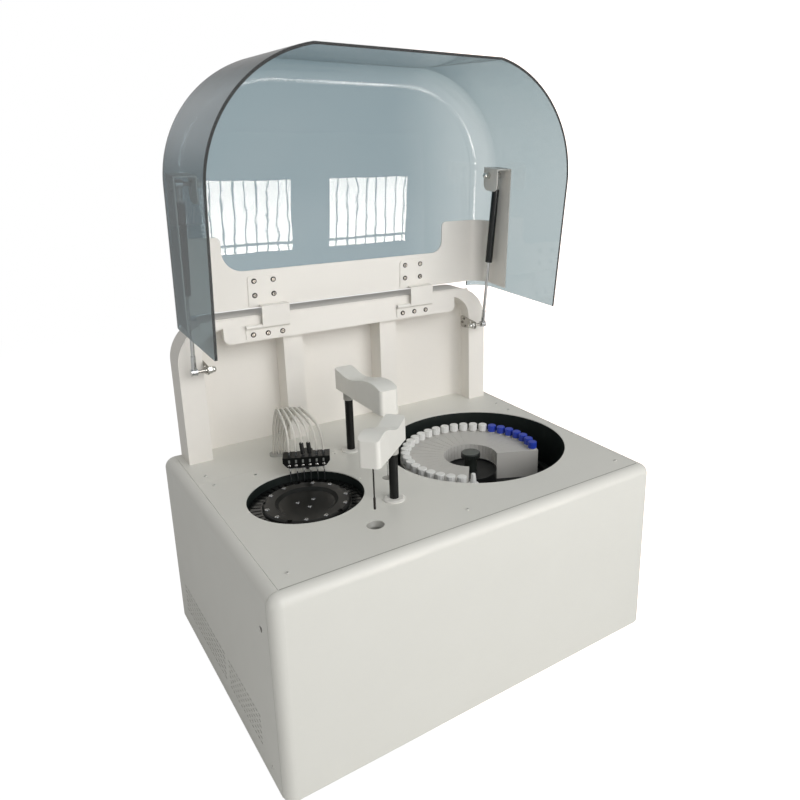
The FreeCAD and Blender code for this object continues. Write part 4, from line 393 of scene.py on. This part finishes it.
def plated(name, shade, roughness, stretch):
    """Plated or brushed steel: metal with a grain drawn out along X."""
    made, tree, place = blank_material(name)
    drawn = add(tree, "ShaderNodeMapping", {"Vector": place.outputs["Object"],
                                            "Scale": (1 / stretch, 1, 1)})
    grain = add(tree, "ShaderNodeTexNoise", {"Vector": drawn.outputs[0], "Scale": 1 / drawn_grain,
                                             "Detail": 3.0})
    gloss = add(tree, "ShaderNodeMapRange", {"Value": grain.outputs["Fac"],
                                             "To Min": roughness - plate_gloss_spread,
                                             "To Max": roughness + plate_gloss_spread})
    tone = add(tree, "ShaderNodeMixRGB", {"Fac": grain.outputs["Fac"], "Color1": colour(shade),
                                          "Color2": shaded(shade, plate_shade_share)})
    body = add(tree, "ShaderNodeBsdfPrincipled", {"Base Color": tone.outputs[0], "Metallic": 1.0,
                                                  "Roughness": gloss.outputs[0]})
    add(tree, "ShaderNodeOutputMaterial", {"Surface": body.outputs[0]})
    return made


zinc_plate = plated("zinc_plated_steel", "#A9ACAD", 0.42, 6)
finish_nodes(zinc_plate, "deck_frame", "power_supply")
cast_black = moulded("black_enamelled_casting", "#1F2022", 1.2 * mm, 0.5, 0.3, 1.5)
finish_nodes(cast_black, "rotor_motors", "fluid_pump", "sampling_carriage", "stirring_carriage")
finish_nodes(moulded("glass_epoxy_laminate", "#1C5A3A", 1.0 * mm, 0.4), "control_board")
black_polyamide = moulded("black_polyamide", "#141515", 0.6 * mm, 0.45)
finish_nodes(black_polyamide, "cooling_fan", "photometer", "power_inlet")

# Portal: a white powder-coated sheet frame, closed behind by a curved panel and
# braced by two box members. It stands on the rear of the deck and carries the lid.
white_coat = powder_coat("white_powder_coat", "#F3EFE8", 0.36, 0.48)
finish_nodes(white_coat, "portal_frame", "back_panel", "support_members", "hinge_beam")

# Hinges: folded leaves coated white with the beam, on bright stainless pins. The
# lid's leaves step back from the barrels to the lid's bracket.
finish_nodes(white_coat, "hinge_leaves_lower", "hinge_leaves_upper")
stainless = plated("stainless_steel", "#C9CACB", 0.24, 3)
finish_nodes(stainless, "hinge_pins")

# Screws: the covers' heads are coated with the sheet, the portal's and hinges' are
# nickelled steel, the disc's stainless. Crosses on the heads stand for their recesses,
# painted shade: gray on the deck's screws and dark on the steel ones.
finish_nodes(powder_coat("coated_screw_heads", "#D2D1CC", 0.34, 0.46), "cover_screws")
hinge_steel = plated("nickelled_steel", "#B5B1AA", 0.24, 2)
finish_nodes(hinge_steel, "portal_screws", "hinge_screws_upper")
finish_nodes(stainless, "reaction_screws")
recess_span = 4.0 * mm
recess_slot = 1.1 * mm
recess_height = 0.3 * mm
# The crosses' colours are painted shade in the recesses, dark on steel and gray on coat.
recess_shadow = moulded("recess_shadow", "#26221E", 0.5 * mm, 0.7)
painted_gray_recess_shade = moulded("coated_recess", "#98968F", 0.5 * mm, 0.6)


def loose_parts(name):
    """The vertices of each separate solid in a CAD node."""
    work = bmesh.new()
    work.from_mesh(nodes[name].data)
    bmesh.ops.remove_doubles(work, verts=work.verts, dist=0.01 * mm)
    groups = []
    done = set()
    for start in work.verts:
        if start.index in done:
            continue
        done.add(start.index)
        group, queue = [], [start]
        while queue:
            corner = queue.pop()
            group.append(corner.co.copy())
            for edge in corner.link_edges:
                other = edge.other_vert(corner)
                if other.index not in done:
                    done.add(other.index)
                    queue.append(other)
        groups.append(group)
    work.free()
    return groups


def head_centre(group, facing):
    """The middle of a screw's head, on the face that looks along facing."""
    reach = max(corner.dot(facing) for corner in group)
    face = [corner for corner in group if reach - corner.dot(facing) < 0.05 * mm]
    return sum(face, Vector()) / len(face)


def recess_tree():
    """Geometry nodes: a cross on every point, turned to the point's facing vector."""
    made = bpy.data.node_groups.new("cross_recesses", "GeometryNodeTree")
    made.interface.new_socket("Geometry", in_out="INPUT", socket_type="NodeSocketGeometry")
    for label in ("Span", "Slot", "Height"):
        made.interface.new_socket(label, in_out="INPUT", socket_type="NodeSocketFloat")
    made.interface.new_socket("Finish", in_out="INPUT", socket_type="NodeSocketMaterial")
    made.interface.new_socket("Geometry", in_out="OUTPUT", socket_type="NodeSocketGeometry")
    source = add(made, "NodeGroupInput")
    span, slot, height = (source.outputs[label] for label in ("Span", "Slot", "Height"))
    first_size = add(made, "ShaderNodeCombineXYZ", {"X": span, "Y": slot, "Z": height})
    second_size = add(made, "ShaderNodeCombineXYZ", {"X": slot, "Y": span, "Z": height})
    first = add(made, "GeometryNodeMeshCube", {"Size": first_size.outputs[0]})
    second = add(made, "GeometryNodeMeshCube", {"Size": second_size.outputs[0]})
    cross = add(made, "GeometryNodeJoinGeometry")
    made.links.new(first.outputs[0], cross.inputs[0])
    made.links.new(second.outputs[0], cross.inputs[0])
    facing = add(made, "GeometryNodeInputNamedAttribute", {"Name": "facing"}, data_type="FLOAT_VECTOR")
    turned = add(made, "FunctionNodeAlignRotationToVector", {"Vector": facing.outputs[0]}, axis="Z")
    placed = add(made, "GeometryNodeInstanceOnPoints", {"Points": source.outputs[0],
                                                        "Instance": cross.outputs[0],
                                                        "Rotation": turned.outputs[0]})
    real = add(made, "GeometryNodeRealizeInstances", {"Geometry": placed.outputs[0]})
    finished = add(made, "GeometryNodeSetMaterial", {"Geometry": real.outputs[0],
                                                     "Material": source.outputs["Finish"]})
    add(made, "NodeGroupOutput", {"Geometry": finished.outputs[0]})
    return made


def point_mesh(name, places):
    """A mesh of bare points, each with the vector that it faces."""
    mesh = bpy.data.meshes.new(name)
    mesh.from_pydata([place for place, facing in places], [], [])
    facing = mesh.attributes.new("facing", "FLOAT_VECTOR", "POINT")
    for i, (place, direction) in enumerate(places):
        facing.data[i].vector = direction
    made = bpy.data.objects.new(name, mesh)
    scene.collection.objects.link(made)
    return made


def grown(piece, tree, values):
    """Runs a node tree on a piece, with inputs by name, and leaves a plain mesh."""
    modifier = piece.modifiers.new("grow", "NODES")
    modifier.node_group = tree
    for item in tree.interface.items_tree:
        if item.in_out == "INPUT" and item.name in values:
            modifier[item.identifier] = values[item.name]
    bpy.context.view_layer.update()
    mesh = bpy.data.meshes.new_from_object(piece.evaluated_get(bpy.context.evaluated_depsgraph_get()))
    piece.modifiers.remove(modifier)
    piece.data = mesh
    return piece


cross_recesses = recess_tree()
up, back, left_way, right_way = Vector((0, 0, 1)), Vector((0, 1, 0)), Vector((-1, 0, 0)), Vector((1, 0, 0))


def recesses(name, body, places, finish=recess_shadow):
    """Crosses painted as the shade in the recesses of the screws of one body."""
    piece = point_mesh(name, places)
    values = {"Span": recess_span, "Slot": recess_slot, "Height": recess_height, "Finish": finish}
    grown(piece, cross_recesses, values)
    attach(piece, body)
    return piece


side_head_depth = 20 * mm
portal_side = 320 * mm
lid_lean = math.radians(3.7)
base_heads, deck_heads = [], []
for group in loose_parts("cover_screws"):
    middle_x = sum(corner.x for corner in group) / len(group)
    if abs(middle_x) < cad_high.x - side_head_depth:
        deck_heads.append((head_centre(group, up), up))
for group in loose_parts("portal_screws"):
    middle_x = sum(corner.x for corner in group) / len(group)
    sideways = abs(middle_x) > portal_side
    facing = (left_way if middle_x > 0 else right_way) if sideways else -back
    base_heads.append((head_centre(group, facing), facing))
recesses("portal_screw_recesses", "base", base_heads)
recesses("cabinet_screw_recesses", "base", deck_heads, painted_gray_recess_shade)
lid_normal = Vector((0, -math.cos(lid_lean), -math.sin(lid_lean)))
lid_heads = [(head_centre(group, lid_normal), lid_normal) for group in loose_parts("hinge_screws_upper")]
recesses("lid_screw_recesses", "lid", lid_heads)
disc_heads = [(head_centre(group, up), up) for group in loose_parts("reaction_screws")]
recesses("disc_screw_recesses", "reaction_rotor", disc_heads)

# Washers: turned rings under the heads, of black-oxide steel on the hinges and of
# stainless steel on the reaction disc. They make the screws read as bigger dots.
washer_radius, washer_bore, washer_thick = 5.9 * mm, 2.4 * mm, 0.8 * mm
disc_washer, disc_bore, disc_thick = 4.4 * mm, 1.5 * mm, 0.5 * mm
head_height = 1.9 * mm


def turned_pieces(name, profile, places, facing, finish, body, steps=32):
    """One mesh of lathe-turned pieces: the profile goes round each place's facing axis."""
    work = bmesh.new()
    turn = facing.to_track_quat("Z", "Y")
    for place in places:
        rings = []
        for step in range(steps):
            angle = 2 * math.pi * step / steps
            rings.append([work.verts.new(place + turn @ Vector((r * math.cos(angle), r * math.sin(angle), z)))
                          for r, z in profile])
        for step in range(steps):
            here, after = rings[step], rings[(step + 1) % steps]
            for k in range(len(profile)):
                n = (k + 1) % len(profile)
                work.faces.new((here[k], after[k], after[n], here[n]))
    bmesh.ops.remove_doubles(work, verts=work.verts, dist=0.001 * mm)
    bmesh.ops.recalc_face_normals(work, faces=work.faces)
    mesh = bpy.data.meshes.new(name)
    work.to_mesh(mesh)
    work.free()
    mesh.materials.append(finish)
    piece = bpy.data.objects.new(name, mesh)
    scene.collection.objects.link(piece)
    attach(piece, body)
    return piece


black_oxide = plated("black_oxide_steel", "#3B3733", 0.34, 2)
ring = [(washer_bore, 0), (washer_radius, 0), (washer_radius, washer_thick * 0.7),
        (washer_radius - washer_thick * 0.3, washer_thick), (washer_bore, washer_thick)]
turned_pieces("lid_hinge_washers", ring, [spot - facing * head_height for spot, facing in lid_heads],
              lid_normal, black_oxide, "lid")
leaf_heads = [spot for spot, facing in base_heads if facing == -back]
disc_ring = [(disc_bore, 0), (disc_washer, 0), (disc_washer, disc_thick), (disc_bore, disc_thick)]
turned_pieces("disc_washers", disc_ring, [spot - up * head_height for spot, facing in disc_heads], up,
              stainless, "reaction_rotor")
turned_pieces("beam_hinge_washers", ring, [spot + back * head_height for spot in leaf_heads], -back,
              black_oxide, "base")

# Lid: one vacuum-formed cover of smoke-blue cast acrylic, 5 mm thick, polished,
# which darkens towards its sawn edges. The stretched bend round its panel is slightly
# matt, so it mirrors softly. Its bracket is white powder-coated sheet.
lid_absorption = (0.072, 0.254, 0.312, 1)
lid_density = 240
lid_axis = Vector((0, 247, 706)) * mm
lid_travel = math.radians(86.3)
lid_outward = Vector((0, math.sin(lid_travel), math.cos(lid_travel)))
lid_inside, lid_outside, lid_bend_radius = 17 * mm, 22 * mm, 52 * mm
bend_start = (lid_inside - 0.02 * mm, lid_inside - 0.3 * mm)
bend_end = (lid_outside - lid_bend_radius * 1.2, lid_outside - lid_bend_radius * 0.9)
bend_haze = 0.16
lid_wave = 120 * mm
acrylic, tree, place = blank_material("tinted_cast_acrylic")
wave = add(tree, "ShaderNodeTexNoise", {"Vector": place.outputs["Object"], "Scale": 1 / lid_wave,
                                        "Detail": 1.0})
bump = add(tree, "ShaderNodeBump", {"Height": wave.outputs["Fac"], "Strength": 0.06, "Distance": 2 * mm})
gloss = add(tree, "ShaderNodeMapRange", {"Value": wave.outputs["Fac"], "To Min": 0.0, "To Max": 0.015})
arm = add(tree, "ShaderNodeVectorMath", {0: place.outputs["Object"], 1: lid_axis}, operation="SUBTRACT")
depth = add(tree, "ShaderNodeVectorMath", {0: arm.outputs["Vector"], 1: lid_outward},
            operation="DOT_PRODUCT")
bent = reckon(tree, "MULTIPLY", fade(tree, depth.outputs["Value"], *bend_start),
              fade(tree, depth.outputs["Value"], *bend_end))
matt = reckon(tree, "MULTIPLY_ADD", bent, bend_haze, gloss.outputs[0])
tone = add(tree, "ShaderNodeMixRGB", {"Fac": wave.outputs["Fac"], "Color1": colour("#FFFFFF"),
                                      "Color2": colour("#F6FAFB")})
body = add(tree, "ShaderNodeBsdfPrincipled", {"Base Color": tone.outputs[0], "Roughness": matt,
                                              "Normal": bump.outputs[0], "IOR": 1.49,
                                              "Transmission Weight": 0.94})
dye = add(tree, "ShaderNodeVolumeAbsorption", {"Color": lid_absorption, "Density": lid_density})
add(tree, "ShaderNodeOutputMaterial", {"Surface": body.outputs[0], "Volume": dye.outputs[0]})
finish_nodes(acrylic, "lid_cover")
finish_nodes(white_coat, "lid_bracket")

# Gas struts: a gloss black pressure tube with a chromed end fitting, over a ground and
# chromed rod. The ball studs, brackets and acorn nuts are nickel-plated.
chrome = plated("hard_chrome", "#DADBDC", 0.14, 3)
nickel = plated("nickel_plate", "#B9B6B0", 0.22, 2)
strut_foot = Vector((0, 229 * mm, 214.5 * mm))
strut_rise = Vector((0, -59, 385.5)).normalized()
strut_tube_end = 355.5 * mm
nut_corner, nut_flat, dome_radius, dome_length = 8.2 * mm, 8 * mm, 6.6 * mm, 9 * mm
nut_rim, dome_sunk = 1 * mm, 0.2 * mm
lacquer_flow = 60 * mm
strut_foot.z += deck
finish_nodes(chrome, "strut_rod_left", "strut_rod_right")


def node_of(tree, kind):
    """The tree's only node of a kind."""
    return next(node for node in tree.nodes if node.type == kind)


tube_finish = chrome.copy()
tube_finish.name = "black_tube_with_chromed_end"
tree = tube_finish.node_tree
metal = node_of(tree, "BSDF_PRINCIPLED")
closing = node_of(tree, "OUTPUT_MATERIAL")
place = node_of(tree, "TEX_COORD")
from_foot = add(tree, "ShaderNodeVectorMath", {0: place.outputs["Object"], 1: strut_foot},
                operation="SUBTRACT")
run = add(tree, "ShaderNodeVectorMath", {0: from_foot.outputs["Vector"], 1: strut_rise},
          operation="DOT_PRODUCT")
fitting = reckon(tree, "GREATER_THAN", run.outputs["Value"], strut_tube_end)
flow = add(tree, "ShaderNodeTexNoise", {"Vector": place.outputs["Object"], "Scale": 1 / lacquer_flow})
gloss = add(tree, "ShaderNodeMapRange", {"Value": flow.outputs["Fac"], "To Min": 0.16, "To Max": 0.24})
tone = add(tree, "ShaderNodeMixRGB", {"Fac": flow.outputs["Fac"], "Color1": colour("#0C1010"),
                                      "Color2": colour("#101414")})
lacquer = add(tree, "ShaderNodeBsdfPrincipled", {"Base Color": tone.outputs[0], "Roughness": gloss.outputs[0],
                                                 "IOR": 1.5})
both = add(tree, "ShaderNodeMixShader", {0: fitting, 1: lacquer.outputs[0], 2: metal.outputs[0]})
tree.links.new(both.outputs[0], closing.inputs["Surface"])
finish_nodes(tube_finish, "strut_tube_left", "strut_tube_right")
finish_nodes(nickel, "strut_brackets", "lower_ball_studs", "upper_ball_studs")
bright_nickel = plated("bright_nickel_plate", "#E4E3DE", 0.2, 2)
hexagon = [(nut_rim, 0), (nut_corner, 0), (nut_corner, nut_flat - nut_rim), (nut_corner - nut_rim, nut_flat),
           (nut_rim, nut_flat)]
dome = [(0, nut_flat - dome_sunk), (dome_radius, nut_flat - dome_sunk),
        (dome_radius, nut_flat + dome_length * 0.35), (dome_radius * 0.86, nut_flat + dome_length * 0.68),
        (dome_radius * 0.5, nut_flat + dome_length * 0.92), (0, nut_flat + dome_length)]
for label, node, body, seat_x in (("upper", "upper_ball_studs", "lid", 345 * mm),
                                  ("lower", "lower_ball_studs", "base", 341.5 * mm)):
    low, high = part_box(node)
    for side, way in (("left", right_way), ("right", left_way)):
        seat = Vector((-way.x * seat_x, (low.y + high.y) / 2, (low.z + high.z) / 2))
        turned_pieces(f"{label}_nut_{side}", hexagon, [seat], way, bright_nickel, body, 6)
        cap = turned_pieces(f"{label}_nut_dome_{side}", dome, [seat], way, bright_nickel, body)
        cap.data.polygons.foreach_set("use_smooth", [True] * len(cap.data.polygons))

# Wells: two black pots moulded in polyamide under the deck, and two small wash wells
# of acetal, painted gray all over as the shade in their holes. The deck's collars round
# the columns are of white acetal.
well_black = moulded("black_moulded_well", "#1E2523", 0.8 * mm, 0.4)
finish_nodes(well_black, "reaction_well", "reagent_well")
white_acetal = moulded("white_acetal", "#E9E7E1", 0.8 * mm, 0.4, 0.1)
finish_nodes(white_acetal, "arm_guides")
# The wash wells' gray is painted shade inside them.
finish_nodes(moulded("gray_acetal", "#A3A29C", 0.8 * mm, 0.4, 0.1), "wash_wells")

# Reaction rotor: a turned disc of black anodised aluminium that carries five
# blocks of smoked cuvettes, held by pan-head screws.
turning_mark = 1.5 * mm
skin_light_share, skin_gloss_spread = 1.3, 0.05


def anodised(name, shade, roughness):
    """Black anodised aluminium: a thin dark skin, dull, with fine turning marks."""
    made, tree, place = blank_material(name)
    fine = add(tree, "ShaderNodeTexNoise", {"Vector": place.outputs["Object"], "Scale": 1 / turning_mark,
                                            "Detail": 3.0})
    tone = add(tree, "ShaderNodeMixRGB", {"Fac": fine.outputs["Fac"], "Color1": colour(shade),
                                          "Color2": shaded(shade, skin_light_share)})
    gloss = add(tree, "ShaderNodeMapRange", {"Value": fine.outputs["Fac"],
                                             "To Min": roughness - skin_gloss_spread,
                                             "To Max": roughness + skin_gloss_spread})
    body = add(tree, "ShaderNodeBsdfPrincipled", {"Base Color": tone.outputs[0], "IOR": 1.42,
                                                  "Roughness": gloss.outputs[0],
                                                  "Specular IOR Level": 0.32})
    add(tree, "ShaderNodeOutputMaterial", {"Surface": body.outputs[0]})
    return made


black_anodised = anodised("black_anodised_aluminium", "#121312", 0.34)
disc_anodised = anodised("satin_anodised_disc", "#21211F", 0.3)
finish_nodes(disc_anodised, "reaction_disc")
smoked = moulded("smoked_acrylic_cuvettes", "#141615", 1.0 * mm, 0.16, 0.05, 1.49)
finish_nodes(smoked, "cuvette_ring")

# Reagent carousel: gray polyethylene bottles in a black tray, with ribbed polypropylene
# caps, seven blue and the rest white. A thin moulded web closes the gap between two
# neighbours. The knob is dark ABS with painted light and shade: its flat top inside the
# rim is lighter as lit, and the rim and sides are darker as shade.
finish_nodes(black_polyamide, "reagent_tray")
knob_low, knob_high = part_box("reagent_knob")
axis = (knob_low + knob_high) / 2
knob_lit_top_radius, knob_lit_top_depth = 20.6 * mm, 1 * mm


def retint(tree, mask, shade):
    """Turns the base colour into another where the mask is 1."""
    base = node_of(tree, "BSDF_PRINCIPLED").inputs["Base Color"]
    mixed = add(tree, "ShaderNodeMixRGB", {"Fac": mask, "Color1": base.links[0].from_socket,
                                           "Color2": colour(shade)})
    tree.links.new(mixed.outputs[0], base)


# The knob's lighter top and darker rim and sides are painted light and shade.
knob_abs = moulded("gray_knob_abs", "#535955", 1.2 * mm, 0.4, 0.1)
tree = knob_abs.node_tree
place = node_of(tree, "TEX_COORD")
from_axis = add(tree, "ShaderNodeVectorMath", {0: place.outputs["Object"], 1: (axis.x, axis.y, 0)},
                operation="SUBTRACT")
split = add(tree, "ShaderNodeSeparateXYZ", {"Vector": from_axis.outputs["Vector"]})
flat = add(tree, "ShaderNodeCombineXYZ", {"X": split.outputs["X"], "Y": split.outputs["Y"]})
reach = add(tree, "ShaderNodeVectorMath", {0: flat.outputs["Vector"]}, operation="LENGTH")
inner = reckon(tree, "LESS_THAN", reach.outputs["Value"], knob_lit_top_radius)
upper = reckon(tree, "GREATER_THAN", split.outputs["Z"], knob_high.z - knob_lit_top_depth)
retint(tree, reckon(tree, "SUBTRACT", 1.0, reckon(tree, "MULTIPLY", inner, upper)), "#1B201D")
finish_nodes(knob_abs, "reagent_knob")
bottle_polyethylene = moulded("gray_polyethylene", "#C9C7C2", 1.5 * mm, 0.42, 0.15, 1.51)
finish_nodes(bottle_polyethylene, "reagent_bottles")
web_width, web_drop, web_deep, web_round = 0.9 * mm, 0.35 * mm, 60 * mm, 0.1 * mm
web_inner, web_outer = 63 * mm, 162.6 * mm

# Inside body_reach a bottle has only its flat top, not its neck, so the webs' height is
# found there. A step wider than gap_share of the pitch is left open.
body_reach = 100 * mm
gap_share = 1.4
bottle_parts = loose_parts("reagent_bottles")
bottle_level = max(max(corner.z for corner in group if (corner.xy - axis.xy).length < body_reach)
                   for group in bottle_parts)
bottle_middles = [sum(group, Vector()) / len(group) - axis for group in bottle_parts]
turns = sorted(math.atan2(middle.y, middle.x) for middle in bottle_middles)
pitch = min(b - a for a, b in zip(turns, turns[1:]))
web_place = (axis.x, axis.y, bottle_level - web_drop - web_deep / 2)
web_size = (web_outer - web_inner, web_width, web_deep)
web_reach = Matrix.Translation(((web_inner + web_outer) / 2, 0, 0))
web_spots = [cuboid(web_place, web_size, Matrix.Rotation((a + b) / 2, 4, "Z") @ web_reach)
             for a, b in zip(turns, turns[1:] + [turns[0] + 2 * math.pi]) if b - a < pitch * gap_share]
webs = blocks("bottle_webs", web_spots, web_round, 1, bottle_polyethylene)
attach(webs, "reagent_rotor")
white_polypropylene = moulded("white_polypropylene", "#EDEDEA", 0.8 * mm, 0.38, 0.1, 1.49)
finish_nodes(white_polypropylene, "white_caps")
blue_polypropylene = moulded("blue_polypropylene", "#2B45B8", 0.8 * mm, 0.36, 0.1, 1.49)
finish_nodes(blue_polypropylene, "blue_caps")

# Arms: each has a black anodised column with a pale collar below the arm, and a
# moulded ABS cover. The needle is polished stainless steel, the stirrer darker.
arm_abs = moulded("light_gray_abs", "#F3F1EA", 0.9 * mm, 0.42, 0.15, 1.53)
finish_nodes(arm_abs, "sampling_cover", "stirring_cover")
collar_height = 24 * mm
plate_height = 3 * mm


def column_finish(name, collar_low):
    """Anodised black below a level, pale ABS above it."""
    made = black_anodised.copy()
    made.name = name
    tree = made.node_tree
    split = add(tree, "ShaderNodeSeparateXYZ", {"Vector": node_of(tree, "TEX_COORD").outputs["Object"]})
    retint(tree, reckon(tree, "GREATER_THAN", split.outputs["Z"], collar_low), "#B9B8B2")
    return made


for name in ("sampling", "stirring"):
    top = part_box(name + "_column")[1].z
    skin = column_finish(name + "_column_anodised", top - plate_height - collar_height)
    finish_nodes(skin, name + "_column")
finish_nodes(stainless, "sampling_needle")
finish_nodes(anodised("dark_coated_steel", "#2A2725", 0.3), "stirrer")

# Wash head: a black anodised block over the cuvettes, on a post through the deck,
# with two rows of steel needles in pale bushes. Its front has a clamp screw and a
# plain gray inlay at each station, and two tubes have a black rubber sleeve.
finish_nodes(black_anodised, "wash_head_block", "wash_head_post")
finish_nodes(plated("dull_steel_needles", "#7E8183", 0.34, 2), "wash_needles")
head_heading = math.radians(65.6)
rotor_x, rotor_y = -244 * mm, -23.5 * mm
head_inner = 82.5 * mm
head_middle = 100 * mm
head_rows = 10 * mm
head_stations = 6
head_pitch = 13.96 * mm
head_low, head_high = 24.5 * mm, 46 * mm
head_plate = 4 * mm
clamp_radius, clamp_rim, clamp_proud = 3.0 * mm, 0.6 * mm, 1.6 * mm
clamp_sunk, clamp_height = 0.5 * mm, 28.2 * mm
inlay_width, inlay_tall, inlay_proud, inlay_height = 3.8 * mm, 7.2 * mm, 0.3 * mm, 38 * mm
inlay_round = 0.15 * mm
bush_radius, bush_bore, bush_length, bush_sunk = 3.3 * mm, 1.2 * mm, 9 * mm, 0.4 * mm
sleeve_radius, sleeve_bore, sleeve_length = 4.4 * mm, 2.6 * mm, 24 * mm
sleeve_lift, sleeve_foot = 4 * mm, 0.2 * mm
sleeve_lean = math.radians(5)
out = Vector((math.cos(head_heading), math.sin(head_heading), 0))
along = Vector((-math.sin(head_heading), math.cos(head_heading), 0))
sides = [(i - (head_stations - 1) / 2) * head_pitch for i in range(head_stations)]


def at_head(reach, side, height):
    """A point by its distance from the rotor's axis, its side and its height over the deck."""
    return Vector((rotor_x, rotor_y, deck + height)) + out * reach + along * side


clamp = [(0, -clamp_sunk), (clamp_radius, -clamp_sunk), (clamp_radius, clamp_rim),
         (clamp_radius * 0.7, clamp_proud * 0.9), (0, clamp_proud)]
turned_pieces("wash_head_clamp_screws", clamp, [at_head(head_inner, side, clamp_height) for side in sides],
              -out, bright_nickel, "wash_head")
white_bush = moulded("pale_acetal_bush", "#DEDDD8", 0.6 * mm, 0.3, 0.1)
bush = [(bush_bore, bush_sunk), (bush_radius, bush_sunk), (bush_radius, -bush_length * 0.7),
        (bush_radius * 0.7, -bush_length), (bush_bore, -bush_length)]
bush_places = [at_head(head_middle + row * head_rows / 2, side, head_low - head_plate)
               for side in sides for row in (-1, 1)]
turned_pieces("wash_head_bushes", bush, bush_places, up, white_bush, "wash_head")
sleeve_rubber = moulded("black_silicone_sleeve", "#131413", 0.5 * mm, 0.5, 0.2)
sleeve = [(sleeve_bore, sleeve_foot), (sleeve_radius, sleeve_foot), (sleeve_radius, sleeve_length * 0.93),
          (sleeve_radius * 0.85, sleeve_length), (sleeve_bore, sleeve_length)]
sleeve_places = [at_head(head_middle - head_rows / 2, side, head_high + sleeve_lift)
                 for side in (head_pitch / 2, -head_pitch / 2)]
sleeve_way = (up + along * math.tan(sleeve_lean)).normalized()
turned_pieces("wash_head_sleeves", sleeve, sleeve_places, sleeve_way, sleeve_rubber, "wash_head")
head_turn = Matrix((along, up, -out)).transposed().to_4x4()
inlay_size = (inlay_width, inlay_tall, inlay_proud * 2)
inlay_places = [cuboid(at_head(head_inner, side, inlay_height), inlay_size, head_turn) for side in sides]
inlays = blocks("wash_head_inlays", inlay_places, inlay_round, 2,
                moulded("gray_enamel_inlay", "#8E918D", 0.5 * mm, 0.4, 0.1))
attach(inlays, "wash_head")

# Wash tubes: twelve soft tubes of milky silicone, 4.4 mm outside, pushed over the
# head's barbs. They rise, bend back together and enter the deck by the grommet.
grommet = Vector((-214 * mm, 196 * mm, 0))
grommet_pitch = 5.6 * mm
grommet_rows = 6 * mm
grommet_rise = 5 * mm
tube_radius = 2.2 * mm
tube_rise = 40 * mm
tube_crest = 121 * mm
tube_fall = 40 * mm
tube_inside = 12 * mm
tube_crest_share = 0.62
tube_row_step = 6 * mm
tube_clearness = 0.3
barb_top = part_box("wash_needles")[1].z
silicone = moulded("milky_silicone", "#FAF7EF", 1.5 * mm, 0.4, 0.05, 1.41)
node_of(silicone.node_tree, "BSDF_PRINCIPLED").inputs["Transmission Weight"].default_value = tube_clearness
tube_curve = bpy.data.curves.new("wash_tubes_soft", "CURVE")
tube_curve.dimensions = "3D"
tube_curve.bevel_depth = tube_radius
tube_curve.bevel_resolution = 4
tube_curve.resolution_u = 10
tube_curve.use_fill_caps = True
for row in (-1, 1):
    for i in range(head_stations):
        side = i - (head_stations - 1) / 2
        start = at_head(head_middle + row * head_rows / 2, side * head_pitch, barb_top - deck)
        end = grommet + along * side * grommet_pitch - out * row * grommet_rows / 2
        step = tube_row_step if row < 0 else 0
        top = start + up * (tube_rise + step)
        foot = end + up * (deck + grommet_rise + tube_fall + step)
        across = foot - top
        first = top + across * (1 - tube_crest_share)
        first.z = deck + tube_crest + step
        second = top + across * tube_crest_share
        second.z = deck + tube_crest + step + tube_radius * 2
        down = end + up * (deck - tube_inside)
        route = [start, top, first, second, foot, down]
        spline = tube_curve.splines.new("NURBS")
        spline.points.add(len(route) - 1)
        for point, corner in zip(spline.points, route):
            point.co = (*corner, 1)
        spline.order_u = 3
        spline.use_endpoint_u = True
tube_object = bpy.data.objects.new("wash_tubes_route", tube_curve)
scene.collection.objects.link(tube_object)
bpy.context.view_layer.update()
depsgraph = bpy.context.evaluated_depsgraph_get()
tube_mesh = bpy.data.meshes.new_from_object(tube_object.evaluated_get(depsgraph))
bpy.data.objects.remove(tube_object)
tubes = bpy.data.objects.new("wash_tubes_soft", tube_mesh)
scene.collection.objects.link(tubes)
tube_mesh.materials.clear()
tube_mesh.materials.append(silicone)
tube_mesh.polygons.foreach_set("use_smooth", [True] * len(tube_mesh.polygons))
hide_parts("wash_tubes")
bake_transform(tubes)
